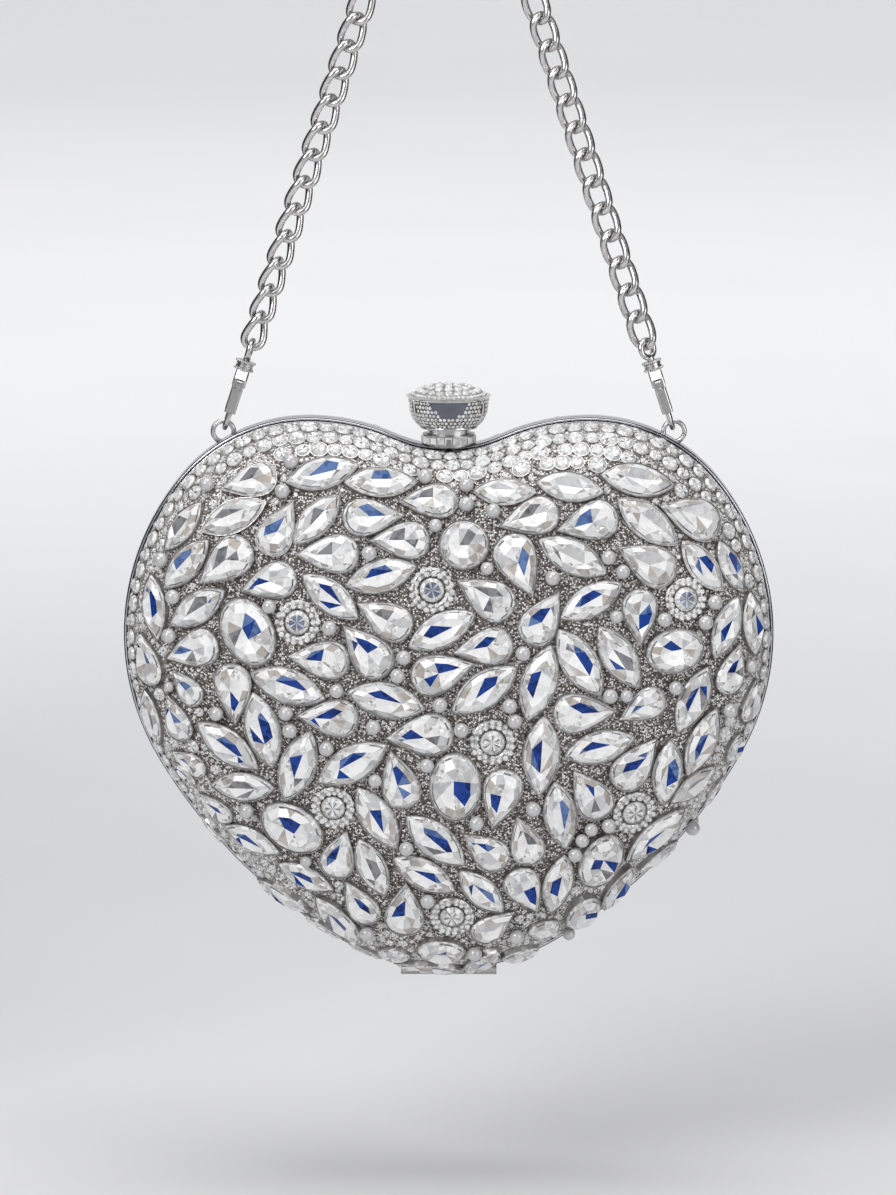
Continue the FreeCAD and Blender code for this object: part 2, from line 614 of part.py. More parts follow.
def on_strap(shape, side, lean, place):
    """Lean a piece drawn upright and put it at a place on the strap's right side, or mirrored on its left."""
    placed = shape.copy()
    placed.rotate(Vector(), Y_AXIS, -side * lean)
    placed.translate(Vector(side * place.x, 0, place.z))
    return placed


def on_run(shape, side, distance):
    """Put a piece drawn about the run's own axis at a distance below the run's start."""
    return on_strap(shape, side, RUN_LEAN, RUN_START + RUN_HEADING * distance)


def link_course(share):
    """A point and its direction on a flat stadium course, for a share of one turn."""
    half_length = (LINK_PITCH + 2 * LINK_WIRE_RADIUS + LINK_GAP) / 2
    bend = LINK_WIDTH / 2 - LINK_WIRE_RADIUS
    side_length = 2 * (half_length - bend)
    bend_length = math.pi * bend
    walked = share * 2 * (side_length + bend_length)
    turned = walked > side_length + bend_length
    if turned:
        walked -= side_length + bend_length
    if walked < side_length:
        along = side_length / 2 - walked
        across = bend
    else:
        angle = (walked - side_length) / bend
        along = -side_length / 2 - bend * math.sin(angle)
        across = bend * math.cos(angle)
    if turned:
        along, across = -along, -across
    twist = math.radians(LINK_TWIST) * along / half_length
    return Vector(across * math.cos(twist), across * math.sin(twist), along)


def make_link():
    """A curb link: round wire on a stadium course that is twisted about its length."""
    course = [link_course(step / LINK_COURSE) for step in range(LINK_COURSE)]
    return wire_about_z(course, LINK_WIRE_RADIUS, True)


def make_run_links(side):
    """All links of one side of the strap, below its top link."""
    link = make_link()
    links = [on_strap(link, side, lean, middle) for middle, lean in TOP_LINKS]
    return links + [on_run(link, side, (count + 1 / 2) * LINK_PITCH) for count in range(LINKS_PER_RUN)]


def make_top_link():
    """The link at the strap's top, which lies level."""
    link = make_link()
    link.rotate(Vector(), Y_AXIS, 90)
    return link


def make_swivel_eye():
    """The eye that the last link goes through, with its stem and captive head."""
    eye = Part.makeTorus(EYE_RADIUS, EYE_WIRE_RADIUS, Vector(0, 0, EYE_MIDDLE), Y_AXIS)
    eye.rotate(Vector(), Z_AXIS, LINK_TWIST)
    head_bottom = HOOK_COLLAR_START - SWIVEL_HEAD_LENGTH
    stem_top = EYE_MIDDLE - EYE_RADIUS
    stem = Part.makeCylinder(SWIVEL_STEM_RADIUS, stem_top - head_bottom, Vector(0, 0, head_bottom))
    head = Part.makeCylinder(SWIVEL_HEAD_RADIUS, SWIVEL_HEAD_LENGTH, Vector(0, 0, head_bottom))
    return eye.fuse(stem).fuse(head).removeSplitter()


GATE_PIVOT = HOOK_BODY_START + GATE_BOSS_RADIUS
GATE_START = HOOK_BEND_MIDDLE + HOOK_TIP_LENGTH + GATE_GAP


def hook_strip(radius, y, low, high):
    """A flat bar of the hook with rounded long edges, as thick as a wire of the radius."""
    corner = Vector(-HOOK_ARM_WIDTH / 2, y - radius, low)
    strip = Part.makeBox(HOOK_ARM_WIDTH, 2 * radius, high - low, corner)
    upright = [edge for edge in strip.Edges if edge.BoundBox.ZLength > radius]
    return strip.makeFillet(HOOK_BODY_ROUND, upright)


def make_hook_body():
    """The snap hook: a bent wire nose, a flat body with the gate's slot and a ribbed collar."""
    nose = Part.makeTorus(HOOK_BEND, HOOK_WIRE_RADIUS, Vector(), X_AXIS, 0, 360, 180)
    nose.rotate(Vector(), X_AXIS, 90)
    if nose.CenterOfMass.z > 0:
        nose.rotate(Vector(), X_AXIS, 180)
    nose.translate(Vector(0, 0, HOOK_BEND_MIDDLE))
    arm = Part.makeCylinder(HOOK_WIRE_RADIUS, HOOK_ARM_LENGTH, Vector(0, HOOK_BEND, HOOK_BEND_MIDDLE))
    spine = hook_strip(HOOK_WIRE_RADIUS, HOOK_BEND, GATE_START, GATE_PIVOT)
    tip = Part.makeCylinder(HOOK_WIRE_RADIUS, HOOK_TIP_LENGTH, Vector(0, -HOOK_BEND, HOOK_BEND_MIDDLE))
    outside = HOOK_BEND + HOOK_WIRE_RADIUS
    shoulder = HOOK_BODY_START + HOOK_BODY_LENGTH / 2
    corners = [(outside, HOOK_BODY_START), (outside, shoulder), (HOOK_COLLAR_RADIUS, HOOK_COLLAR_START),
               (-HOOK_COLLAR_RADIUS, HOOK_COLLAR_START), (-outside, shoulder), (-outside, HOOK_BODY_START)]
    points = [Vector(-HOOK_BODY_THICKNESS / 2, y, z) for y, z in corners]
    block = Part.Face(Part.makePolygon(points + points[:1])).extrude(Vector(HOOK_BODY_THICKNESS, 0, 0))
    outline = [edge for edge in block.Edges if edge.BoundBox.XLength < OVERRUN]
    block = block.makeFillet(HOOK_BODY_ROUND, outline)
    collar = Part.makeCylinder(HOOK_COLLAR_RADIUS, HOOK_COLLAR_LENGTH, Vector(0, 0, HOOK_COLLAR_START))
    body = nose.fuse([arm, spine, tip, block, collar]).removeSplitter()
    groove_height = HOOK_COLLAR_LENGTH / (2 * HOOK_COLLAR_GROOVES + 1)
    for count in range(HOOK_COLLAR_GROOVES):
        low = Vector(0, 0, HOOK_COLLAR_START + (2 * count + 1) * groove_height)
        groove = Part.makeCylinder(HOOK_COLLAR_RADIUS + OVERRUN, groove_height, low)
        groove = groove.cut(Part.makeCylinder(HOOK_COLLAR_RADIUS - HOOK_COLLAR_GROOVE, groove_height, low))
        body = body.cut(groove)
    slot_length = 2 * GATE_BOSS_RADIUS + GATE_GAP + OVERRUN
    slot_low = Vector(-GATE_SLOT / 2, -outside - OVERRUN, HOOK_BODY_START - OVERRUN)
    slot_reach = outside + OVERRUN - HOOK_BEND + GATE_BOSS_RADIUS + GATE_GAP + GATE_SPRING_THICKNESS
    body = body.cut(Part.makeBox(GATE_SLOT, slot_reach, slot_length, slot_low))
    pin_start = Vector(-HOOK_BODY_THICKNESS / 2 - OVERRUN, -HOOK_BEND, GATE_PIVOT)
    body = body.cut(Part.makeCylinder(GATE_PIN_RADIUS, HOOK_BODY_THICKNESS + 2 * OVERRUN, pin_start, X_AXIS))
    bore_length = HOOK_COLLAR_LENGTH + OVERRUN
    bore_radius = SWIVEL_STEM_RADIUS + SWIVEL_CLEARANCE
    bore = Part.makeCylinder(bore_radius, bore_length, Vector(0, 0, HOOK_COLLAR_START))
    chamber_length = SWIVEL_HEAD_LENGTH + 2 * SWIVEL_PLAY
    chamber_low = Vector(0, 0, HOOK_COLLAR_START - SWIVEL_HEAD_LENGTH - SWIVEL_PLAY)
    chamber = Part.makeCylinder(SWIVEL_HEAD_RADIUS + SWIVEL_PLAY, chamber_length, chamber_low)
    return body.cut(bore).cut(chamber)


def make_gate():
    """The gate that closes the hook, with its boss and thumb lever."""
    boss_width = GATE_SLOT - GATE_GAP
    pivot = Vector(-boss_width / 2, -HOOK_BEND, GATE_PIVOT)
    boss = Part.makeCylinder(GATE_BOSS_RADIUS, boss_width, pivot, X_AXIS)
    bar = Part.makeCylinder(GATE_RADIUS, GATE_PIVOT - GATE_START, Vector(0, -HOOK_BEND, GATE_START))
    lever_low = Vector(-boss_width / 2, -HOOK_BEND - GATE_LEVER_LENGTH, GATE_PIVOT - GATE_BOSS_RADIUS)
    lever = Part.makeBox(boss_width, GATE_LEVER_LENGTH, GATE_BOSS_RADIUS, lever_low)
    strip = hook_strip(GATE_RADIUS, -HOOK_BEND, GATE_START, HOOK_BODY_START - GATE_STRIP_GAP)
    gate = boss.fuse([bar, lever, strip]).removeSplitter()
    hole = GATE_PIN_RADIUS + GATE_PIN_CLEARANCE
    start = Vector(-boss_width, -HOOK_BEND, GATE_PIVOT)
    return gate.cut(Part.makeCylinder(hole, 2 * boss_width, start, X_AXIS))


def make_gate_pin():
    """The pin that the gate turns on, riveted flush in the body."""
    start = Vector(-HOOK_BODY_THICKNESS / 2, -HOOK_BEND, GATE_PIVOT)
    return Part.makeCylinder(GATE_PIN_RADIUS, HOOK_BODY_THICKNESS, start, X_AXIS)


def make_gate_spring():
    """The leaf in the slot that presses on the gate's boss."""
    width = GATE_SLOT - GATE_GAP
    near_y = GATE_BOSS_RADIUS + GATE_GAP / 2 - HOOK_BEND
    low = Vector(-width / 2, near_y, HOOK_BODY_START)
    return Part.makeBox(width, GATE_SPRING_THICKNESS, 2 * GATE_BOSS_RADIUS, low)


def rim_reach(direction):
    """Distance from the dome's middle to the rim along a unit direction in the rim's plane."""
    heading = Vector(abs(direction.x), 0, direction.z)
    reach = 0
    for middle, radius, first, last, bulge in RIM:
        apart = DOME_MIDDLE - middle
        along = heading.dot(apart)
        inside = along * along - apart.dot(apart) + radius * radius
        if inside < 0:
            continue
        for root in (-along - math.sqrt(inside), -along + math.sqrt(inside)):
            spoke = apart + heading * root
            angle = math.degrees(math.atan2(spoke.z, spoke.x))
            if root > 0 and min(first, last) - ANGLE_SLACK <= angle <= max(first, last) + ANGLE_SLACK:
                reach = max(reach, root)
    return reach


def dome_level(point):
    """Below zero inside the front dome, zero on its skin and above zero outside."""
    flat = Vector(point.x, 0, point.z) - DOME_MIDDLE
    distance = flat.Length
    share = distance / rim_reach(flat / distance) if distance > 0 else 0
    rise = (FRONT_FACE_Y - point.y) / DOME_DEPTH
    return share ** DOME_ROUNDNESS + rise * rise - 1


def dome_slope(point):
    """How fast the level grows about a point, along each axis."""
    slope = []
    for axis in (X_AXIS, Y_AXIS, Z_AXIS):
        rise = dome_level(point + axis * SLOPE_STEP) - dome_level(point - axis * SLOPE_STEP)
        slope.append(rise / (2 * SLOPE_STEP))
    return Vector(*slope)


def seen_on_dome(across_px, down_px):
    """The point of the front dome that shows at a pixel of the picture."""
    tilt = math.radians(VIEW_ELEVATION)
    sight = Vector(0, math.cos(tilt), -math.sin(tilt))
    upward = Vector(0, math.sin(tilt), math.cos(tilt))
    start = X_AXIS * ((across_px - MIDDLE_PX) * PIXEL) + upward * ((LOBE_TOP_PX - down_px) * PIXEL)
    outside = start - sight * (DOME_DEPTH * 2)
    nearest = outside
    while outside.y < 0:
        inside = outside + sight * SIGHT_STRIDE
        if dome_level(inside) < 0:
            break
        if dome_level(inside) < dome_level(nearest):
            nearest = inside
        outside = inside
    else:
        return nearest
    for count in range(SETTLE_ROUNDS):
        halfway = (outside + inside) / 2
        if dome_level(halfway) < 0:
            inside = halfway
        else:
            outside = halfway
    return outside


def settled(point):
    """A point near the dome, moved along the normal onto its skin."""
    for count in range(SETTLE_ROUNDS):
        slope = dome_slope(point)
        point = point - slope * (dome_level(point) / slope.dot(slope))
    return point


class Stone:
    """One stone: its seat on the dome, its outline and its size."""

    def __init__(self, seat, heading, length, width, shares):
        self.length = length
        self.width = width
        self.shares = shares
        self.sit(seat, heading)
        for count in range(SETTLE_ROUNDS):
            overhang = max(corner.y for corner in self.ring(1, 0)) + STONE_GAP - FRONT_FACE_Y
            if overhang > 0:
                self.sit(self.seat - Y_AXIS * overhang, heading)

    def sit(self, seat, heading):
        """Settle on the dome near a place, with the length turned towards a heading."""
        self.seat = settled(seat)
        self.normal = dome_slope(self.seat).normalize()
        self.along = (heading - self.normal * heading.dot(self.normal)).normalize()
        self.across = self.normal.cross(self.along)

    def ring(self, share, height):
        """The outline's corners at a share of its size and a height above the dome."""
        middle = self.seat + self.normal * height
        corners = []
        for along, across in self.shares:
            corners.append(middle + self.along * (along * share * self.length)
                           + self.across * (across * share * self.width))
        return corners

    def lift(self):
        """Height of the flat back above the seat, so that its outline clears a hollow in the dome."""
        ring = self.ring(1, 0)
        edges = ring + [(corner + ring[place - 1]) / 2 for place, corner in enumerate(ring)]
        deepest = max(self.normal.dot(settled(spot) - spot) for spot in edges)
        return STONE_SEAT + max(deepest, 0)

    def cut(self, profile_shares):
        """The solid: a flat back, a crown of sloping facets and a flat table."""
        lift = self.lift()
        rings = [self.ring(1, lift)]
        for share, rise_share in profile_shares:
            rings.append(self.ring(share, lift + rise_share * self.width))
        faces = [rings[0], rings[-1]]
        for low, high in zip(rings, rings[1:]):
            for place in range(len(low)):
                faces.append([low[place - 1], low[place], high[place], high[place - 1]])
        shell = Part.Shell([Part.Face(Part.makePolygon(face + face[:1])) for face in faces])
        solid = Part.Solid(shell)
        if solid.Volume < 0:
            solid.reverse()
        return solid


def circle_shares(count):
    """Corners of a round outline, as shares of its diameter."""
    spokes = [compass(360 * place / count) / 2 for place in range(count)]
    return [(spoke.x, spoke.z) for spoke in spokes]


def stones_between(ends_px, width_share, shares):
    """Stones that reach from one end to the other as the picture shows them."""
    stones = []
    for left, top, right, bottom in ends_px:
        first = seen_on_dome(left, top)
        last = seen_on_dome(right, bottom)
        length = (last - first).Length * STONE_LENGTH_SHARE
        stones.append(Stone((first + last) / 2, last - first, length, length * width_share, shares))
    return stones


def round_stones(middles_px, radius):
    """Round stones, flowers or pearls about the places that the picture shows."""
    shares = circle_shares(len(NAVETTE_SHARES))
    return [Stone(seen_on_dome(*middle), X_AXIS, 2 * radius, 2 * radius, shares) for middle in middles_px]


def room_between(one, other):
    """How far two outlines stand apart, seen along the mean of their normals."""
    sight = (one.normal + other.normal).normalize()
    one_ring = one.ring(1, 0)
    other_ring = other.ring(1, 0)
    widest = -one.length - other.length
    for ring in (one_ring, other_ring):
        for place, corner in enumerate(ring):
            side = corner - ring[place - 1]
            axis = side.cross(sight).normalize()
            one_spread = [axis.dot(point) for point in one_ring]
            other_spread = [axis.dot(point) for point in other_ring]
            widest = max(widest, min(other_spread) - max(one_spread), min(one_spread) - max(other_spread))
    return widest


def near(one, other):
    """Whether two stones are so close that their outlines could meet."""
    return (one.seat - other.seat).Length < (one.length + other.length) / 2 + STONE_GAP


def make_room(stones):
    """Shrink neighbours a little at a time until every two stones stand apart."""
    pairs = []
    for place, one in enumerate(stones):
        for other in stones[:place]:
            if near(one, other):
                pairs.append((one, other))
    crowded = True
    while crowded:
        crowded = False
        for one, other in pairs:
            if room_between(one, other) < STONE_GAP:
                crowded = True
                for stone in (one, other):
                    stone.length *= STONE_SHRINK_SHARE
                    stone.width *= STONE_SHRINK_SHARE


def make_rim_stones(others):
    """Small round stones in rows along the lip, wherever the larger stones leave room."""
    shares = circle_shares(RIM_STONE_CORNERS)
    placed = []
    for row_share in RIM_ROW_SHARES:
        rise = DOME_DEPTH * math.sqrt(1 - row_share ** DOME_ROUNDNESS)
        for step in range(round((180 - 2 * RIM_WALK_START) / RIM_WALK_TURN)):
            heading = compass(RIM_WALK_START + step * RIM_WALK_TURN)
            spot = DOME_MIDDLE + heading * (row_share * rim_reach(heading))
            spot.y = FRONT_FACE_Y - rise
            size = 2 * RIM_STONE_RADII[len(placed) % len(RIM_STONE_RADII)]
            stone = Stone(spot, Y_AXIS, size, size, shares)
            rivals = [other for other in others + placed if near(stone, other)]
            if all(room_between(stone, other) > STONE_GAP for other in rivals):
                placed.append(stone)
    return placed


def make_pearl(stone):
    """A pearl that rests on the dome."""
    radius = stone.width / 2
    return Part.makeSphere(radius, stone.seat + stone.normal * (radius + stone.lift()))


def make_halo(stone):
    """The ring of small stones about a flower's middle stone."""
    share = stone.width / (2 * (FLOWER_HALO_RADIUS + FLOWER_HALO_WIRE))
    wire = FLOWER_HALO_WIRE * share
    middle = stone.seat + stone.normal * (wire + stone.lift())
    return Part.makeTorus(FLOWER_HALO_RADIUS * share, wire, middle, stone.normal)


def make_flower_middle(stone):
    """The round stone inside a halo."""
    share = FLOWER_STONE_RADIUS / (FLOWER_HALO_RADIUS + FLOWER_HALO_WIRE)
    middle = Stone(stone.seat, stone.along, stone.length * share, stone.width * share, stone.shares)
    return middle.cut(SMALL_PROFILE_SHARES)


def make_front_stones():
    """Every stone group of the front half, as lists of solids by name."""
    navettes = stones_between(NAVETTE_TIPS_PX, NAVETTE_WIDTH_SHARE, NAVETTE_SHARES)
    pears = stones_between(PEAR_TIPS_PX, PEAR_WIDTH_SHARE, PEAR_SHARES)
    oval_shares = circle_shares(len(NAVETTE_SHARES))
    ovals = stones_between(OVAL_TIPS_PX, OVAL_WIDTH_SHARE, oval_shares)
    ovals += stones_between(ROUND_TIPS_PX, ROUND_WIDTH_SHARE, oval_shares)
    flowers = round_stones(FLOWER_MIDDLES_PX, FLOWER_HALO_RADIUS + FLOWER_HALO_WIRE)
    pearls = round_stones(PEARL_MIDDLES_PX, PEARL_RADIUS)
    seen = navettes + pears + ovals + flowers + pearls
    make_room(seen)
    return {
        "navette_stones": [stone.cut(STONE_PROFILE_SHARES) for stone in navettes],
        "pear_stones": [stone.cut(STONE_PROFILE_SHARES) for stone in pears],
        "oval_stones": [stone.cut(STONE_PROFILE_SHARES) for stone in ovals],
        "rim_stones": [stone.cut(SMALL_PROFILE_SHARES) for stone in make_rim_stones(seen)],
        "flower_stones": [make_flower_middle(stone) for stone in flowers],
        "flower_halos": [make_halo(stone) for stone in flowers],
        "pearls": [make_pearl(stone) for stone in pearls],
    }


def to_rear(solid):
    """The same stone on the rear half, which mirrors the front about the parting plane."""
    return solid.mirror(Vector(0, PARTING_Y, 0), Y_AXIS)


def case_pieces():
    """Every piece of the case by its node's name."""
    rear_frame = make_frame(REAR_FACE_Y, 1)
    front_frame = make_frame(FRONT_FACE_Y, -1)
    front_start = -FRONT_KNUCKLE_LENGTH / 2
    rear_starts = [front_start - KNUCKLE_GAP - REAR_KNUCKLE_LENGTH, -front_start + KNUCKLE_GAP]
    pieces = {
        "front_shell": make_shell(FRONT_FACE_Y, -1),
        "rear_shell": make_shell(REAR_FACE_Y, 1),
        "front_lining": make_lining(FRONT_FACE_Y, -1),
        "rear_lining": make_lining(REAR_FACE_Y, 1),
        "rear_hinge_knuckles": [make_knuckle(x, REAR_KNUCKLE_LENGTH, 1, rear_frame) for x in rear_starts],
        "front_hinge_knuckle": make_knuckle(front_start, FRONT_KNUCKLE_LENGTH, -1, front_frame),
        "hinge_pin": make_hinge_pin(),
        "left_ring_lug": make_ring_lug(-1, rear_frame),
        "right_ring_lug": make_ring_lug(1, rear_frame),
        "clasp_collar": make_collar(rear_frame),
        "knob_cup": make_knob_cup(),
        "knob_cap": make_knob_cap(),
        "knob_stem": make_knob_stem(),
        "stem_clip": make_stem_clip(),
        "return_spring": make_return_spring(),
        "latch_leaf": make_latch_leaf(),
        "latch_bracket": make_latch_bracket(rear_frame),
        "latch_rivets": make_latch_rivets(),
        "latch_keeper": make_latch_keeper(front_frame),
        "front_frame": front_frame,
        "rear_frame": rear_frame,
    }
    for name, solids in make_front_stones().items():
        pieces["front_" + name] = solids
        pieces["rear_" + name] = [to_rear(solid) for solid in solids]
    return pieces


def strap_pieces():
    """Every piece of the strap and its snap hooks by its node's name."""
    pieces = {"top_chain_link": make_top_link()}
    for name, side in (("left", -1), ("right", 1)):
        pieces[name + "_chain_links"] = make_run_links(side)
        hook_parts = {
            "_swivel_eye": make_swivel_eye(),
            "_hook_body": make_hook_body(),
            "_gate": make_gate(),
            "_gate_pin": make_gate_pin(),
            "_gate_spring": make_gate_spring(),
        }
        for part_name, shape in hook_parts.items():
            pieces[name + part_name] = on_run(shape, side, RUN_LENGTH)
    return pieces


def save(name, shape):
    """Write one node, as one solid or as a group of solids."""
    if isinstance(shape, list):
        shape = Part.makeCompound(shape)
    shape.exportStep("parts/" + name + ".step")
    state = "valid" if shape.isValid() else "INVALID"
    print(name, len(shape.Solids), "solid(s)", round(shape.Volume, 2), "mm3", state)


def main():
    """Build every node."""
    os.makedirs("parts", exist_ok=True)
    for name, shape in case_pieces().items():
        if isinstance(shape, list):
            save(name, [on_case(solid) for solid in shape])
        else:
            save(name, on_case(shape))
    for name, shape in strap_pieces().items():
        save(name, shape)
    print("case hangs", round(CASE_DROP, 2), "below the top link, runs lean", round(RUN_LEAN, 2))


main()
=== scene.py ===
# %% [markdown]
# A hard heart shaped evening purse hangs from its chain strap, covered in foil backed stones.
# The imported solids are the frame: every piece made below takes its place and size from them,
# and all but the springs ride on one of their bodies, so that the clasp, hinge, hooks and gates still move.

# %% Load the frame
import json
import math
import random

import bmesh
import bpy
from mathutils import Matrix, Vector
from mathutils.bvhtree import BVHTree
from mathutils.kdtree import KDTree


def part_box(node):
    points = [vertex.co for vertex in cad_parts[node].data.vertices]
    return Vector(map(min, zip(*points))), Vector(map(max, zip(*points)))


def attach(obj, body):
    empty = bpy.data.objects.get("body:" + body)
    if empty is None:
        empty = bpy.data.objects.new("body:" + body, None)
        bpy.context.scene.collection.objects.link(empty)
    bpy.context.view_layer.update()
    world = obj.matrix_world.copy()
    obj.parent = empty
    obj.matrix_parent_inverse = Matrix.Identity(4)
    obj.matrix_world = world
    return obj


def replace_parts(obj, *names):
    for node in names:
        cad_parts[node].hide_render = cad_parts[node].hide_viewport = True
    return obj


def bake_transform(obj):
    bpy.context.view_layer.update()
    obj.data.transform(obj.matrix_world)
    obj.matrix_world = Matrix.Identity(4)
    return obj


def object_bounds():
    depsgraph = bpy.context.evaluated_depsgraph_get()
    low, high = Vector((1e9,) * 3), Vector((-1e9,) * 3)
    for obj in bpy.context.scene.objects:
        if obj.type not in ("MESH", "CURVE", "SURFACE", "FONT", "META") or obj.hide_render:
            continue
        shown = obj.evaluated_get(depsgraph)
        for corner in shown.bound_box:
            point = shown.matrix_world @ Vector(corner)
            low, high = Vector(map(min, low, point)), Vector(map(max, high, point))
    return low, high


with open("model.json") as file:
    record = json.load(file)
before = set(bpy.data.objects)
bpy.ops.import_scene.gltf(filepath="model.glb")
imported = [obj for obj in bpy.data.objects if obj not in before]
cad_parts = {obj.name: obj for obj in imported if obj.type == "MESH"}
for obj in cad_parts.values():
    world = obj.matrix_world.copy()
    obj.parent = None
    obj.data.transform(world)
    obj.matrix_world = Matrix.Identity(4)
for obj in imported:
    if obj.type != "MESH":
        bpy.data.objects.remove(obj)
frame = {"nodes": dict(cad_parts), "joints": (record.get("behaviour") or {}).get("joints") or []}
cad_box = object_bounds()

MM = 0.001
BODIES = {"front_": "case_front", "rear_": "case_back"}
nodes = frame["nodes"]
joints = {joint["name"]: joint for joint in frame["joints"]}

# %% [markdown]
# A finish is written as sums in Python. One class wraps a socket, so that 1 - mask or 2 * grain
# adds a Math node, and one method adds any other node. The sums then read like the finish itself:
# how light a shard is, how rough a rubbed edge is.


# %% Finishes as Python sums
class Flow:
    """A value that flows through a finish's nodes."""

    def __init__(self, finish, socket):
        self.finish = finish
        self.socket = socket

    def math(self, operation, *values):
        return self.finish.add("Math", {"operation": operation}, dict(enumerate(values)))

    def __add__(self, other):
        return self.math("ADD", self, other)

    def __sub__(self, other):
        return self.math("SUBTRACT", self, other)

    def __rsub__(self, other):
        return self.math("SUBTRACT", other, self)

    def __mul__(self, other):
        return self.math("MULTIPLY", self, other)

    def __gt__(self, other):
        return self.math("GREATER_THAN", self, other)

    def __lt__(self, other):
        return self.math("LESS_THAN", self, other)

    def __abs__(self):
        return self.math("ABSOLUTE", self)

    __radd__ = __add__
    __rmul__ = __mul__

    def sine(self):
        return self.math("SINE", self)

    def within(self, low, high):
        """1 between two values, 0 outside them."""
        return (self > low) * (self < high)


class Finish:
    """A material whose nodes are added one at a time."""

    def __init__(self, name, **settings):
        self.material = bpy.data.materials.new(name)
        self.material.use_nodes = True
        self.tree = self.material.node_tree
        self.shader = self.tree.nodes["Principled BSDF"]
        self.set(settings)
        print("finish", name)

    def plug(self, socket, value):
        if isinstance(value, Flow):
            self.tree.links.new(value.socket, socket)
        else:
            socket.default_value = value

    def add(self, kind, settings=None, inputs=None, output=0):
        """Add a node of one kind: its settings first, then the values or links of its sockets."""
        node = self.tree.nodes.new("ShaderNode" + kind)
        for key, value in (settings or {}).items():
            if key == "stops":
                ramp = node.color_ramp.elements
                while len(ramp) < len(value):
                    ramp.new(1)
                for stop, (place, shade) in zip(ramp, value):
                    stop.position = place
                    stop.color = (*shade, 1)
            else:
                setattr(node, key, value)
        for key, value in (inputs or {}).items():
            self.plug(node.inputs[key], value)
        return Flow(self, node.outputs[output])

    def set(self, settings):
        """Set sockets of the shader itself, named with underscores for spaces."""
        for key, value in settings.items():
            if isinstance(value, tuple) and len(value) == 3:
                value = (*value, 1)
            self.plug(self.shader.inputs[key.replace("_", " ")], value)

    def place(self):
        """Where a point lies on the purse, in metres."""
        return self.add("TexCoord", output=3)

    def part_of_place(self, axis):
        return self.add("SeparateXYZ", None, {0: self.place()}, "XYZ".index(axis))

    def blend(self, share, low, high):
        """One colour turned into another by a share."""
        low = (*low, 1) if isinstance(low, tuple) else low
        high = (*high, 1) if isinstance(high, tuple) else high
        return self.add("Mix", {"data_type": "RGBA"}, {0: share, 6: low, 7: high}, 2)

    def steps(self, share, stops):
        """Colours that follow each other without a blend, each from its own share on."""
        made = self.add("ValToRGB", {"stops": stops}, {0: share})
        made.socket.node.color_ramp.interpolation = "CONSTANT"
        return made

    def shards(self, size):
        """One random number for each angular shard of about this size."""
        colour = self.add("TexVoronoi", None, {0: self.place(), "Scale": 1 / size}, 1)
        return self.add("SeparateColor", None, {0: colour})

    def grain(self, size, detail=2.0):
        """Soft noise of about this size."""
        return self.add("TexNoise", None, {0: self.place(), "Scale": 1 / size, "Detail": detail})

    def clamp(self, value):
        """A value held between 0 and 1."""
        return self.add("Clamp", None, {0: value})

    def bump(self, height, distance, strength=1.0):
        inputs = {"Height": height, "Distance": distance, "Strength": strength}
        return self.add("Bump", None, inputs)


def clouded(name, patch, light, dark, rougher=0, **settings):
    """A finish whose colour, and where asked its roughness, drifts in patches of one size."""
    finish = Finish(name, **settings)
    cloud = finish.grain(patch)
    finish.set({"Base_Color": finish.blend(cloud, light, dark)})
    if rougher:
        finish.set({"Roughness": settings["Roughness"] + rougher * cloud})
    return finish.material


# %% [markdown]
# Foiled crystal shows what its back facets mirror: white, grey, beige and deep blue shards with
# straight edges. Clear glass over mirrors would need many bounces and wouldn't survive an export,
# so each facet here is opaque, has one of seven finishes, and gets its sparkle from a hard gloss.

# %% Crystal finishes
SHARD_SIZE = 1.3 * MM
RIM_SHARD_SIZE = 0.75 * MM
CRYSTAL_GLOSS = {"Roughness": 0.08, "IOR": 1.55, "Coat_Weight": 0.2, "Coat_Roughness": 0.02}
DEEP_GLOSS = {"Roughness": 0.1, "IOR": 1.25}
RIM_STOPS = ((0.0, (0.36, 0.345, 0.33)), (0.12, (0.54, 0.53, 0.52)), (0.4, (0.68, 0.675, 0.665)),
             (0.7, (0.85, 0.85, 0.84)))


def crystal(name, light, dark, gloss=CRYSTAL_GLOSS):
    """A facet of one colour, broken by fainter shards."""
    finish = Finish(name, **gloss)
    share = finish.shards(SHARD_SIZE)
    finish.set({"Base_Color": finish.blend(share * share, light, dark)})
    return finish.material


def crystal_rim():
    """The crown, where many small facets mix light and grey."""
    finish = Finish("crystal_rim", **CRYSTAL_GLOSS)
    finish.set({"Base_Color": finish.steps(finish.shards(RIM_SHARD_SIZE), RIM_STOPS)})
    return finish.material


# The seven finishes are painted reflections: each colour stands for the shard that the foil behind a facet
# would mirror
RIM, WHITE, PALE, SLATE, ROYAL, STEEL, BEIGE = range(7)
crystals = [
    crystal_rim(),
    crystal("crystal_white", (0.9, 0.895, 0.885), (0.74, 0.74, 0.745)),
    crystal("crystal_pale", (0.62, 0.62, 0.625), (0.46, 0.46, 0.47)),
    crystal("crystal_slate", (0.25, 0.25, 0.265), (0.1, 0.1, 0.115)),
    crystal("crystal_royal", (0.016, 0.06, 0.31), (0.004, 0.016, 0.09), DEEP_GLOSS),
    crystal("crystal_steel", (0.14, 0.22, 0.44), (0.045, 0.09, 0.25), DEEP_GLOSS),
    crystal("crystal_beige", (0.5, 0.455, 0.41), (0.36, 0.33, 0.3)),
]

# %% [markdown]
# The metal is bright plating. Polished plating is never quite even, so a little noise moves its
# roughness. The chain is finely scored by wear, and the walls round the stones are duller and darker.

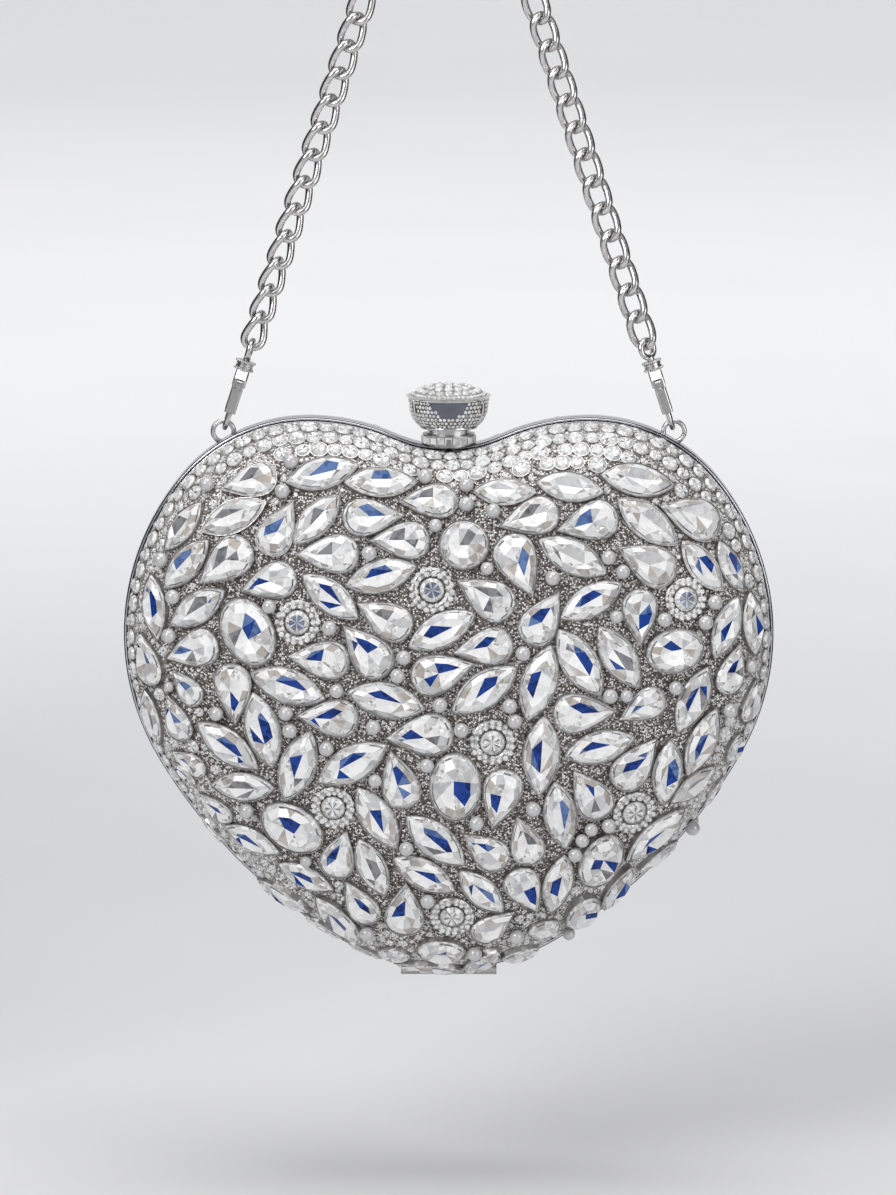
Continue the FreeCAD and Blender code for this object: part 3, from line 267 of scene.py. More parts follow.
# %% Metal, pearl, ground and lining finishes
PLATING = (0.8, 0.8, 0.81)
PLATING_PATCH, SETTING_PATCH, FRAME_PATCH, CUP_PATCH = 2.5 * MM, 0.8 * MM, 3 * MM, 1.5 * MM
PEARL_PATCH = 1.5 * MM
CHAIN_PATCH, CHAIN_SCORE, CHAIN_SCORE_DEPTH = 1.6 * MM, 0.3 * MM, 0.03 * MM
STEEL_GRAIN = 0.25 * MM
SPECK, SPECK_DEPTH, SPECK_REACH_SHARE = 0.45 * MM, 0.25 * MM, 0.56
SPECK_STOPS = ((0.0, (0.05, 0.038, 0.032)), (0.25, (0.14, 0.115, 0.1)), (0.45, (0.34, 0.305, 0.28)),
               (0.64, (0.62, 0.6, 0.58)), (0.8, (0.93, 0.925, 0.915)))
PALE_BAND, PALE_FADE = 10 * MM, 9 * MM
PARTING_Y = (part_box("front_frame")[1].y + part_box("rear_frame")[0].y) / 2
LIP_FACE = PARTING_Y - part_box("front_shell")[1].y
# Where the frames' plating is painted dark as shade: beside the seam between the frames, and at the shell's
# lip
SEAM_SHADE_ENDS = (0.14 * MM, 0.6 * MM)
LIP_SHADE_ENDS = (LIP_FACE - 0.1 * MM, LIP_FACE + 0.15 * MM)
knob_low, knob_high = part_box("knob_cup")
CUP_WALL_ENDS = (knob_low.z + 2.6 * MM, knob_high.z - 0.95 * MM)
CUP_MIRROR_FOOT, CUP_MIRROR_REACH = knob_low.z + 5.0 * MM, 5.4 * MM
QUILT_PITCH = 15 * MM
# How narrow the painted shade along the quilting's stitch grooves is
GROOVE_SHADE_SHARPNESS_SHARE = 9
THREADS, THREAD_DEPTH = 500.0, 0.05 * MM


def chain_plating():
    """The chain's satin plating, finely scored by wear."""
    finish = Finish("chain_plating", Metallic=1.0)
    scores = finish.grain(CHAIN_SCORE, 4.0)
    wear = finish.grain(CHAIN_PATCH)
    finish.set({
        "Base_Color": finish.blend(wear, (0.82, 0.81, 0.8), (0.52, 0.505, 0.5)),
        "Roughness": 0.18 + 0.2 * wear,
        "Normal": finish.bump(scores, CHAIN_SCORE_DEPTH, 0.6),
    })
    return finish.material


def spring_steel():
    finish = Finish("spring_steel", Metallic=1.0, Base_Color=(0.5, 0.5, 0.52))
    finish.set({"Roughness": 0.25 + 0.2 * finish.grain(STEEL_GRAIN, 1.0)})
    return finish.material


def pave_ground():
    """Dark ground strewn with fine stones, which glitter white or stay dark, and are lighter at the rim."""
    finish = Finish("pave_ground")
    cells = finish.add("TexVoronoi", None, {0: finish.place(), "Scale": 1 / SPECK})
    share = finish.shards(SPECK)
    from_rim = abs(finish.part_of_place("Y") - PARTING_Y) - PALE_BAND
    lighter = finish.clamp(1 - from_rim * (1 / PALE_FADE))
    speck = finish.steps(share + 0.07 + 0.33 * lighter, SPECK_STOPS)
    gap = cells > SPECK_REACH_SHARE
    dark = finish.blend(lighter, (0.085, 0.07, 0.062), (0.22, 0.2, 0.185))
    finish.set({
        "Base_Color": finish.blend(gap, speck, dark),
        "Roughness": 0.12 + 0.4 * gap,
        "Normal": finish.bump(1 - cells, SPECK_DEPTH),
    })
    return finish.material


def frame_plating():
    """Bright walls, with a thin line of painted shade along the lip's face and beside the frames' seam."""
    finish = Finish("frame_plating", Metallic=1.0)
    wear = finish.grain(FRAME_PATCH)
    from_parting = abs(finish.part_of_place("Y") - PARTING_Y)
    # painted shade: the plating turns dark beside the gap between the frames and where the shell's lip meets
    # the frame
    line = from_parting.within(*SEAM_SHADE_ENDS) + from_parting.within(*LIP_SHADE_ENDS)
    bright = finish.blend(wear, PLATING, (0.7, 0.7, 0.72))
    finish.set({
        "Base_Color": finish.blend(line, bright, (0.035, 0.037, 0.06)),
        "Roughness": 0.12 + 0.1 * wear,
    })
    return finish.material


def cup_plating():
    """The knob's cup: a bright lip and foot, and dark metal between, under the pave and in the mirror."""
    finish = Finish("cup_plating", Metallic=1.0)
    wear = finish.grain(CUP_PATCH)
    height = finish.part_of_place("Z")
    wall = height.within(*CUP_WALL_ENDS)
    bright = finish.blend(wear, (0.86, 0.855, 0.85), (0.7, 0.695, 0.69))
    mirror = (abs(finish.part_of_place("X")) < CUP_MIRROR_REACH) * (height > CUP_MIRROR_FOOT)
    dark = finish.blend(mirror, (0.15, 0.125, 0.11), (0.17, 0.17, 0.21))
    finish.set({
        "Base_Color": finish.blend(wall, bright, dark),
        "Roughness": 0.14 + 0.12 * wear + 0.12 * wall,
    })
    return finish.material


def lining_satin():
    """Woven satin, with painted shade in the grooves along the stitches of the quilting."""
    finish = Finish("lining_satin", Sheen_Weight=0.3, Roughness=0.45)
    weave = {0: finish.place(), "Scale": THREADS, "Distortion": 1.0}
    thread = finish.add("TexWave", {"wave_profile": "SIN"}, weave, 1)
    across = finish.part_of_place("X")
    up = finish.part_of_place("Z")
    rise = ((across + up) * (math.pi / QUILT_PITCH)).sine()
    fall = ((across - up) * (math.pi / QUILT_PITCH)).sine()
    # painted shade: the satin darkens in the grooves along the stitches, where the puffs would shade it
    groove_shade = finish.clamp(1 - GROOVE_SHADE_SHARPNESS_SHARE * abs(rise * fall))
    satin = finish.blend(thread, (0.44, 0.42, 0.395), (0.54, 0.52, 0.49))
    finish.set({
        "Base_Color": finish.blend(groove_shade, satin, (0.26, 0.245, 0.23)),
        "Normal": finish.bump(thread, THREAD_DEPTH, 0.4),
    })
    return finish.material


finishes = {
    "plating": clouded("bright_plating", PLATING_PATCH, PLATING, (0.66, 0.66, 0.68), 0.12,
                       Metallic=1.0, Roughness=0.08),
    "chain": chain_plating(),
    "setting": clouded("setting_metal", SETTING_PATCH, (0.66, 0.65, 0.64), (0.3, 0.285, 0.275), 0.25,
                       Metallic=1.0, Roughness=0.2),
    "spring": spring_steel(),
    "pearl": clouded("pearl_lustre", PEARL_PATCH, (0.62, 0.615, 0.61), (0.44, 0.44, 0.45), 0.1,
                     Roughness=0.14, Coat_Weight=1.0, Coat_Roughness=0.05, IOR=1.8),
    "ground": pave_ground(),
    "lining": lining_satin(),
    "frame": frame_plating(),
    "cup": cup_plating(),
}

# %% [markdown]
# Every solid gets a finish. Stones, halos, linings, springs and the left run are made again below,
# finer, turned or cut across into lengths, and then stand in for their solids.

# %% Dress the solids
DRESS = {
    "spring": ("spring", "latch_leaf", "stem_clip"),
    "chain": ("chain_link", "ring_lug", "swivel_eye", "hook_body", "gate"),
    "cup": ("knob_cup",),
    "ground": ("shell",),
    "lining": ("lining",),
    "pearl": ("pearls",),
    "frame": ("frame",),
    "setting": ("knob_cap", "clasp_collar", "hinge"),
}


def finish_of(node):
    """The finish that a solid's name asks for."""
    for finish, words in DRESS.items():
        if any(word in node for word in words):
            return finishes[finish]
    return finishes["plating"]


for name, solid in nodes.items():
    solid.data.materials.clear()
    solid.data.materials.append(finish_of(name))
print("dressed", len(nodes), "solids")


# %% [markdown]
# Every new piece is drafted as points, faces and a finish for each face, and becomes one mesh that
# rides on its body. Facets stay flat shaded, because a stone's edges are what makes it sparkle.


# %% Drafts of new pieces
def show(name, data):
    """Put a mesh, a lamp or a camera into the scene."""
    made = bpy.data.objects.new(name, data)
    bpy.context.scene.collection.objects.link(made)
    return made


def form(name, points, faces, materials, smooth=False):
    """Make a mesh of points and faces, and put it into the scene."""
    mesh = bpy.data.meshes.new(name)
    mesh.from_pydata([tuple(point) for point in points], [], faces)
    mesh.polygons.foreach_set("use_smooth", [smooth] * len(mesh.polygons))
    for material in materials:
        mesh.materials.append(material)
    return show(name, mesh)


class Draft:
    """Points and faces of one piece before it becomes a mesh."""

    def __init__(self):
        self.points = []
        self.faces = []
        self.looks = []

    def add(self, points, faces, looks):
        """Add a closed form; looks gives each face's finish, or one for all."""
        start = len(self.points)
        self.points += points
        self.faces += [[start + corner for corner in face] for face in faces]
        self.looks += looks if isinstance(looks, list) else [looks] * len(faces)

    def piece(self, name, materials, body, smooth=False):
        """Make the mesh with the given finishes, and let it ride on a body."""
        made = form(name, self.points, self.faces, materials, smooth)
        made.data.polygons.foreach_set("material_index", self.looks)
        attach(made, body)
        print(name, len(self.faces), "faces on", body)
        return made


def band(low, high, count):
    """Faces between two rings of equally many corners, numbered from the rings' first corners."""
    pairs = [(place, (place + 1) % count) for place in range(count)]
    return [[low + place, low + after, high + after, high + place] for place, after in pairs]


def hoop(rings, count):
    """Faces of a closed hoop: rings of corners, the last of which meets the first."""
    faces = []
    for ring in range(rings):
        faces += band(ring * count, (ring + 1) % rings * count, count)
    return faces


def turns(count, shift=0):
    """Angles spread evenly over a full turn."""
    return [2 * math.pi * (place + shift) / count for place in range(count)]


# %% [markdown]
# A CAD stone is a closed form with a flat back. Its back is the largest flat side, the two corners
# farthest apart are its ends, and the side to side extent is its width. From these the finer stone
# gets the same seat, the same length and width and the same heading.


# %% Read the stones' places from their solids
class Seat:
    """Where one stone sits, how it lies and how large it is."""

    def __init__(self, middle, normal, along, length, width):
        self.middle = middle
        self.normal = normal
        self.along = along
        self.across = normal.cross(along)
        self.length = length
        self.width = width

    def spot(self, along, across, height):
        """A point at shares of the length and width, and a height above the seat."""
        flat = self.along * (along * self.length) + self.across * (across * self.width)
        return self.middle + flat + self.normal * height

    def flat_place(self, point):
        """A point's place over the seat, in metres along and across."""
        offset = point - self.middle
        return offset.dot(self.along), offset.dot(self.across)


def round_seat(middle, normal, size):
    """The seat of a round stone, which may lie either way."""
    return Seat(middle, normal, normal.orthogonal().normalized(), size, size)


WELD = 0.001 * MM
FLAT_DOT_SHARE = 0.9999


def welded(node):
    """A solid's mesh with its corners joined."""
    mesh = bmesh.new()
    mesh.from_mesh(nodes[node].data)
    bmesh.ops.remove_doubles(mesh, verts=mesh.verts, dist=WELD)
    return mesh


def loose_solids(node):
    """Each separate solid of a node, as a list of its faces."""
    mesh = welded(node)
    mesh.verts.index_update()
    seen = set()
    solids = []
    for first in mesh.faces:
        if first in seen:
            continue
        seen.add(first)
        reached = [first]
        for face in reached:
            for edge in face.edges:
                for other in edge.link_faces:
                    if other not in seen:
                        seen.add(other)
                        reached.append(other)
        solids.append(reached)
    return mesh, solids


def read_seats(node):
    """The seat of every stone in a node."""
    mesh, solids = loose_solids(node)
    found = []
    for faces in solids:
        flats = [[other for other in faces if other.normal.dot(face.normal) > FLAT_DOT_SHARE]
                 for face in faces]
        back = max(flats, key=lambda group: sum(face.calc_area() for face in group))
        normal = -back[0].normal
        corners = list({corner.index: corner.co.copy() for face in back for corner in face.verts}.values())
        pairs = [(one, other) for one in corners for other in corners]
        ends = max(pairs, key=lambda pair: (pair[0] - pair[1]).length)
        middle = (ends[0] + ends[1]) / 2
        along = (ends[1] - ends[0]).normalized()
        if sum((corner - middle).dot(along) for corner in corners) < 0:
            along = -along
        across = normal.cross(along)
        spread = [(corner - middle).dot(across) for corner in corners]
        found.append(Seat(middle, normal, along, (ends[1] - ends[0]).length, max(spread) - min(spread)))
    mesh.free()
    return found


CUTS = ("navette", "pear", "oval")
ROUNDS = ("flower", "rim")
seats = {side + cut: read_seats(side + cut + "_stones") for side in BODIES for cut in CUTS + ROUNDS}
for side in BODIES:
    for seat in seats[side + "rim"]:
        seat.width = seat.length
print({name: len(found) for name, found in seats.items()})


# %% [markdown]
# The stones' outlines are formulas of one turn round the stone: a navette has two pointed ends, a
# pear one, and an oval none. A crown of small facets climbs from the girdle to the table, and under
# the table the back's facets meet along a short keel.

# %% Outlines
NAVETTE_POINT_SHARE = 1.75
PEAR_FULLNESS_SHARE, PEAR_POINT_SHARE = 2.755, 1.15


def navette_outline(turn):
    angle = 2 * math.pi * turn
    sine = math.sin(angle)
    return -math.cos(angle) / 2, -math.copysign(abs(sine) ** NAVETTE_POINT_SHARE, sine) / 2


def pear_outline(turn):
    angle = 2 * math.pi * turn
    share = (1 - math.cos(angle)) / 2
    swell = PEAR_FULLNESS_SHARE * share ** PEAR_POINT_SHARE * math.sqrt(1 - share)
    return share - 1 / 2, -math.copysign(swell, math.sin(angle)) / 2


def oval_outline(turn):
    angle = 2 * math.pi * turn
    return -math.cos(angle) / 2, -math.sin(angle) / 2


OUTLINES = {"navette": navette_outline, "pear": pear_outline, "oval": oval_outline, "flower": oval_outline,
            "rim": oval_outline}
KEEL_SHARES = {"navette": (-0.2, 0.2), "pear": (-0.2, 0.08), "oval": (-0.1, 0.1)}
print("outlines", sorted(OUTLINES))

# %% [markdown]
# In the purse's light, the wedge above a stone's keel mirrors something dark and blue, and the facets
# below it mirror white. High up on the purse and at its tip the dark ones are grey. So each stone draws
# up to four dark shards above its keel, often one beige or grey one below, sometimes a dark one there
# too, and keeps the rest white or pale.

# %% One faceted stone
CORNERS = 20
GIRDLE_SHARE, LINE_SHARE, CROWN_SHARE, TABLE_SHARE = 0.06, 0.91, 0.86, 0.62
LINE_RISE_SHARE, CROWN_RISE_SHARE, TABLE_RISE_SHARE, KEEL_RISE_SHARE = 0.14, 0.175, 0.28, 0.2
KEEL_SWAY_SHARES, KEEL_DRAW_SHARES = (-0.06, 0.06), (0.7, 1.1)
ROUND_GIRDLE_SHARE, ROUND_TABLE_SHARE, ROUND_RISE_SHARE, ROUND_DIP_SHARE = 0.14, 0.66, 0.5, 0.42
GREY_ABOVE_SHARE, GREY_BELOW_SHARE = 0.76, 0.1
FAINT_CHANCE, NEAR_CHANCE, FAR_CHANCE = 0.4, 0.9, 0.4
BEIGE_CHANCE, LOW_DARK_CHANCE = 0.7, 0.4
STONE_SINK = 0.04 * MM
shell_low, shell_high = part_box("front_shell")
HEART_HEIGHT = shell_high.z - shell_low.z


def dark_shard(seat, draw):
    """The finish of a stone's darkest shard, by its height on the purse."""
    height = (seat.middle.z - shell_low.z) / HEART_HEIGHT
    if height > GREY_ABOVE_SHARE:
        return draw.choice((SLATE, SLATE, PALE, STEEL))
    if height < GREY_BELOW_SHARE:
        return draw.choice((PALE, SLATE, STEEL))
    return draw.choice((ROYAL, ROYAL, ROYAL, ROYAL, ROYAL, STEEL, SLATE))


def upper_looks(seat, beside, count, draw):
    """Finishes above the keel: the wedge on the keel first, then the facets round it."""
    dark = dark_shard(seat, draw)
    fainter = STEEL if dark == ROYAL else PALE
    looks = [draw.choice((RIM, WHITE, PALE, WHITE)) for facet in range(count)]
    if draw.random() < FAINT_CHANCE:
        looks[draw.randrange(1, count)] = fainter
    looks[0] = dark
    near, far = beside if draw.random() < 1 / 2 else beside[::-1]
    if draw.random() < NEAR_CHANCE:
        looks[near] = draw.choice((dark, dark, fainter))
    if draw.random() < FAR_CHANCE:
        looks[far] = draw.choice((dark, fainter))
    return looks


def lower_looks(seat, count, draw):
    """Finishes below the keel, mostly white."""
    looks = [draw.choice((WHITE, WHITE, WHITE, WHITE, PALE, RIM)) for facet in range(count)]
    looks[0] = WHITE
    if draw.random() < BEIGE_CHANCE:
        looks[draw.randrange(1, count)] = draw.choice((BEIGE, BEIGE, SLATE))
    if draw.random() < LOW_DARK_CHANCE:
        looks[draw.randrange(1, count)] = dark_shard(seat, draw)
    return looks


def cut_stone(draft, seat, cut, draw):
    """Add one stone to a draft."""
    outline = OUTLINES[cut]

    def ring(count, shift, share, height):
        places = [outline((place + shift) / count) for place in range(count)]
        return [seat.spot(along * share, across * share, height) for along, across in places]

    half = CORNERS // 2
    rise = seat.width
    points = ring(CORNERS, 0, 1, -STONE_SINK)
    points += ring(CORNERS, 0, 1, GIRDLE_SHARE * rise)
    points += ring(CORNERS, 1 / 2, LINE_SHARE, LINE_RISE_SHARE * rise)
    points += ring(CORNERS, 1 / 2, CROWN_SHARE, CROWN_RISE_SHARE * rise)
    points += ring(half, 0, TABLE_SHARE, TABLE_RISE_SHARE * rise)
    sway = draw.uniform(*KEEL_SWAY_SHARES)
    for share in KEEL_SHARES[cut]:
        points.append(seat.spot(share * draw.uniform(*KEEL_DRAW_SHARES), sway, KEEL_RISE_SHARE * rise))
    girdle, line, crown, table = CORNERS, 2 * CORNERS, 3 * CORNERS, 4 * CORNERS
    tail, head = table + half, table + half + 1
    faces = [list(range(CORNERS - 1, -1, -1))] + band(0, girdle, CORNERS)
    looks = [RIM] * len(faces)
    for place in range(CORNERS):
        after = (place + 1) % CORNERS
        faces.append([girdle + place, girdle + after, line + place])
        faces.append([girdle + after, line + after, line + place])
    looks += [draw.choice((RIM, RIM, PALE, PALE, WHITE)) for face in faces[len(looks):]]
    faces += band(line, crown, CORNERS)
    looks += [draw.choice((SLATE, SLATE, PALE, RIM, WHITE)) for face in faces[len(looks):]]
    for place in range(half):
        after = (place + 1) % half
        faces.append([crown + (2 * place - 1) % CORNERS, crown + 2 * place, table + place])
        faces.append([crown + 2 * place, crown + 2 * place + 1, table + after, table + place])
    looks += [draw.choice((RIM, WHITE, WHITE, WHITE, PALE, PALE, BEIGE)) for face in faces[len(looks):]]
    for side in (0, 1):
        ends = (tail, head) if side == 0 else (head, tail)
        corners = [table + (place + side * half // 2) % half for place in range(half // 2 + 1)]
        leans_back = draw.random() < 1 / 2
        wedge = [corners[3 if leans_back else 2], ends[1], ends[0]]
        inner = [wedge]
        for place in range(half // 2):
            behind = place < 2 or place == 2 and leans_back
            inner.append([corners[place], corners[place + 1], ends[0 if behind else 1]])
        faces += inner
        if (seat.across.z > 0) == (side == 1):
            looks += upper_looks(seat, (3, 4) if leans_back else (2, 3), len(inner), draw)
        else:
            looks += lower_looks(seat, len(inner), draw)
    draft.add(points, faces, looks)


def round_stone(draft, seat, corners, spokes, draw):
    """Add a small brilliant whose table is a fan of light and dark spokes, or plain."""
    radius = seat.width / 2

    def ring(shift, share, height):
        half = share / 2
        angles = turns(corners, shift)
        return [seat.spot(math.cos(angle) * half, math.sin(angle) * half, height) for angle in angles]

    girdle, table = corners, 2 * corners
    points = ring(0, 1, -STONE_SINK) + ring(0, 1, ROUND_GIRDLE_SHARE * radius)
    points += ring(1 / 2, ROUND_TABLE_SHARE, ROUND_RISE_SHARE * radius)
    faces = [list(range(corners - 1, -1, -1))] + band(0, girdle, corners)
    looks = [RIM] * len(faces)
    for place in range(corners):
        after = (place + 1) % corners
        faces.append([girdle + place, girdle + after, table + place])
        faces.append([girdle + after, table + after, table + place])
        looks += [draw.choice((WHITE, RIM, PALE)), draw.choice((WHITE, RIM, RIM))]
    if spokes:
        points.append(seat.spot(0, 0, ROUND_DIP_SHARE * radius))
        for place in range(corners):
            faces.append([table + place, table + (place + 1) % corners, 3 * corners])
            looks.append(spokes[place % len(spokes)])
    else:
        faces.append(list(range(table, 3 * corners)))
        looks.append(draw.choice((WHITE, WHITE, PALE, RIM)))
    draft.add(points, faces, looks)


# %% Cut all the stones that the solids place
ROUND_CORNERS = {"flower": 24, "rim": 10}
ROUND_SPOKES = {
    "flower": ((STEEL, PALE, SLATE, SLATE), (WHITE, PALE, SLATE, PALE), (WHITE, RIM, PALE, SLATE)),
    "rim": ((WHITE, PALE), (PALE, RIM), (WHITE, RIM, PALE), (WHITE, PALE, WHITE, SLATE)),
}
SEED = 14
draw = random.Random(SEED)
for side, body in BODIES.items():
    for cut in CUTS + ROUNDS:
        draft = Draft()
        for seat in seats[side + cut]:
            if cut in CUTS:
                cut_stone(draft, seat, cut, draw)
            else:
                round_stone(draft, seat, ROUND_CORNERS[cut], draw.choice(ROUND_SPOKES[cut]), draw)
        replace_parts(draft.piece(side + cut + "_cut", crystals, body), side + cut + "_stones")

# %% [markdown]
# A flower is a round stone with a wreath of small ones. The wreath sits on a low metal ring, which
# takes the place of the solid halo.

# %% Flower wreaths
WREATH_STEPS = 39
WREATH_ROWS = ((14, 1.33), (18, 1.68))
WREATH_STONE_SHARE = 0.235
WREATH_TOP_SHARE = 0.16
WREATH_PROFILE_SHARES = ((1.12, -0.3), (1.88, -0.3), (1.84, WREATH_TOP_SHARE), (1.16, WREATH_TOP_SHARE))
WREATH_DRIFT_SHARES, WREATH_REACH_SHARES, WREATH_SIZE_SHARES = (-0.12, 0.12), (0.98, 1.03), (0.8, 1.1)
WREATH_CORNERS = 7


def wreath(stones, ring, seat, draw):
    """Add one wreath's ring and stones to their drafts."""
    radius = seat.width / 2
    points = []
    for share, height in WREATH_PROFILE_SHARES:
        for angle in turns(WREATH_STEPS):
            along, across = share * math.cos(angle) / 2, share * math.sin(angle) / 2
            points.append(seat.spot(along, across, height * radius))
    ring.add(points, hoop(len(WREATH_PROFILE_SHARES), WREATH_STEPS), 0)
    for count, share in WREATH_ROWS:
        for place in range(count):
            angle = 2 * math.pi * (place + draw.uniform(*WREATH_DRIFT_SHARES)) / count
            reach = share * draw.uniform(*WREATH_REACH_SHARES) / 2
            size = 2 * radius * WREATH_STONE_SHARE * draw.uniform(*WREATH_SIZE_SHARES)
            middle = seat.spot(reach * math.cos(angle), reach * math.sin(angle), WREATH_TOP_SHARE * radius)
            small = Seat(middle, seat.normal, seat.along, size, size)
            round_stone(stones, small, WREATH_CORNERS, (WHITE, PALE), draw)


for side, body in BODIES.items():
    stones = Draft()
    ring = Draft()
    for seat in seats[side + "flower"]:
        wreath(stones, ring, seat, draw)
    rings = ring.piece(side + "wreath_rings", [finishes["setting"]], body, True)
    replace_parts(rings, side + "flower_halos")
    stones.piece(side + "wreath_stones", crystals, body)

# %% [markdown]
# A thin wall of metal holds each stone. It starts inside the shell, so that it stands on it even
# where the dome curves away under the stone's flat back, and ends just over the girdle.

# %% Settings round the large stones
WALL = 0.13 * MM
WALL_ROOT = 1.1 * MM
WALL_RISE_SHARE = 0.1


def setting_wall(draft, seat, outline):
    """Add the wall that holds one stone."""
    places = [outline(place / CORNERS) for place in range(CORNERS)]
    wide = (1 + 2 * WALL / seat.length, 1 + 2 * WALL / seat.width)
    top = WALL_RISE_SHARE * seat.width
    profile = (((1, 1), -WALL_ROOT), (wide, -WALL_ROOT), (wide, top), ((1, 1), top))
    points = []
    for (length, width), height in profile:
        points += [seat.spot(along * length, across * width, height) for along, across in places]
    faces = [face[1:] + face[:1] for face in hoop(len(profile), CORNERS)]
    draft.add(points, faces, 0)


for side, body in BODIES.items():
    for cut in CUTS + ROUNDS:
        draft = Draft()
        for seat in seats[side + cut]:
            setting_wall(draft, seat, OUTLINES[cut])
        metal = finishes["chain" if cut == "rim" else "setting"]
        draft.piece(side + cut + "_settings", [metal], body)

# %% [markdown]
# Along the rim the gaps are filled with rhinestones of several sizes. They are thrown at random on
# the shell, largest first, and stay where they touch neither a stone nor each other. The rear half
# mirrors the front one, as its solids do.

# %% Where small stones may lie
FLOWER_FENCE_SHARE, PEARL_FENCE_SHARE = 1.95, 0.85


class Fence:
    """The outline of a stone, which keeps small stones out."""

    def __init__(self, seat, outline, grown=1.0):
        self.seat = seat
        places = [outline(place / CORNERS) for place in range(CORNERS)]
        length, width = seat.length, seat.width
        self.corners = [(along * length * grown, across * width * grown) for along, across in places]

    def gap(self, point):
        """How far a point lies outside the outline; below zero inside."""
        x, y = self.seat.flat_place(point)
        least = math.inf
        inside = False
        for (ax, ay), (bx, by) in zip(self.corners, self.corners[1:] + self.corners[:1]):
            length = (bx - ax) ** 2 + (by - ay) ** 2
            share = min(max(((x - ax) * (bx - ax) + (y - ay) * (by - ay)) / length, 0), 1)
            least = min(least, math.hypot(ax + (bx - ax) * share - x, ay + (by - ay) * share - y))
            if (ay > y) != (by > y) and x < (bx - ax) * (y - ay) / (by - ay) + ax:
                inside = not inside
        return -least if inside else least


def tree_of(node):
    """A solid's skin, to be met by rays."""
    mesh = nodes[node].data
    corners = [corner.co for corner in mesh.vertices]
    return BVHTree.FromPolygons(corners, [face.vertices for face in mesh.polygons])


def pearl_seats(node):
    """The places under a node's pearls on the front shell."""
    mesh, solids = loose_solids(node)
    found = []
    for faces in solids:
        corners = [corner.co for face in faces for corner in face.verts]
        low = Vector([min(corner[axis] for corner in corners) for axis in range(3)])
        high = Vector([max(corner[axis] for corner in corners) for axis in range(3)])
        skin_place, normal = shell_tree.find_nearest((low + high) / 2)[:2]
        found.append(round_seat(skin_place, normal, high.x - low.x))
    mesh.free()
    return found


shell_tree = tree_of("front_shell")
fences = [Fence(seat, OUTLINES[cut]) for cut in CUTS + ("rim",) for seat in seats["front_" + cut]]
fences += [Fence(seat, oval_outline, FLOWER_FENCE_SHARE) for seat in seats["front_flower"]]
fences += [Fence(seat, oval_outline, PEARL_FENCE_SHARE) for seat in pearl_seats("front_pearls")]
fence_tree = KDTree(len(fences))
for count, fence in enumerate(fences):
    fence_tree.insert(fence.seat.middle, count)
fence_tree.balance()
print(len(fences), "outlines keep the small stones out")

# %% Throw the rhinestones
BAND_DEPTH = 19 * MM
LIP_ROOM = 0.4 * MM
THROWS = ((1200, 1.2 * MM, 1.5 * MM), (3500, 0.8 * MM, 1.05 * MM), (9000, 0.45 * MM, 0.65 * MM))
LARGE_WIDTH = 2 * THROWS[1][1]
LARGE_CORNERS, SMALL_CORNERS = 8, 6
REACH_OF_FENCES = 13 * MM
SMALL_GAP = 0.1 * MM
CELL = 3.2 * MM
NEIGHBOURS = [(x, y, z) for x in (-1, 0, 1) for y in (-1, 0, 1) for z in (-1, 0, 1)]


def outer_skin():
    """The front shell's outer triangles within the rim's band, and their areas."""
    mesh = nodes["front_shell"].data
    mesh.calc_loop_triangles()
    lip_y = shell_high.y
    middle = Vector((0, lip_y, (shell_low.z + shell_high.z) / 2))
    skin = []
    areas = []
    for triangle in mesh.loop_triangles:
        corners = [mesh.vertices[corner].co for corner in triangle.vertices]
        centre = sum(corners, Vector()) / 3
        if triangle.normal.dot(centre - middle) > 0 and lip_y - BAND_DEPTH < centre.y < lip_y:
            skin.append((corners, triangle.normal.copy()))
            areas.append(triangle.area)
    return skin, areas


def has_room(point, radius, cell, cells):
    """Whether a small stone at a point keeps clear of the lip, the large stones and its neighbours."""
    if point.y + radius > shell_high.y - LIP_ROOM:
        return False
    for found in fence_tree.find_range(point, REACH_OF_FENCES):
        if fences[found[1]].gap(point) < radius + WALL + SMALL_GAP:
            return False
    for step in NEIGHBOURS:
        for other in cells.get(tuple(a + b for a, b in zip(cell, step)), []):
            if (other.middle - point).length < radius + other.width / 2 + SMALL_GAP:
                return False
    return True


def throw_stones(draw):
    """Seats of all small stones that found room."""
    skin, areas = outer_skin()
    cells = {}
    kept = []
    for count, least, most in THROWS:
        for corners, normal in draw.choices(skin, areas, k=count):
            one, two = sorted((draw.random(), draw.random()))
            point = corners[0] * one + corners[1] * (two - one) + corners[2] * (1 - two)
            radius = draw.uniform(least, most)
            cell = tuple(math.floor(value / CELL) for value in point)
            if has_room(point, radius, cell, cells):
                seat = round_seat(point, normal, 2 * radius)
                cells.setdefault(cell, []).append(seat)
                kept.append(seat)
    return kept


def on_rear(seat):
    """A round stone's seat mirrored to the rear half."""
    middle = Vector((seat.middle.x, 2 * PARTING_Y - seat.middle.y, seat.middle.z))
    normal = Vector((seat.normal.x, -seat.normal.y, seat.normal.z))
    return round_seat(middle, normal, seat.width)


front_scatter = throw_stones(draw)
for side, body in BODIES.items():
    draft = Draft()
    for seat in front_scatter:
        placed = seat if side == "front_" else on_rear(seat)
        if seat.width > LARGE_WIDTH:
            round_stone(draft, placed, LARGE_CORNERS, (WHITE, PALE, WHITE, SLATE), draw)
        else:
            round_stone(draft, placed, SMALL_CORNERS, None, draw)
    draft.piece(side + "rim_scatter", crystals, body)

# %% [markdown]
# The knob is a flared cup set with pave, parted by four smooth ribs, with a bare mirror under the lip
# at the front. Its domed lid has larger stones, and the collar under it a row of baguettes. Their
# places come from rays shot at the turned solids.

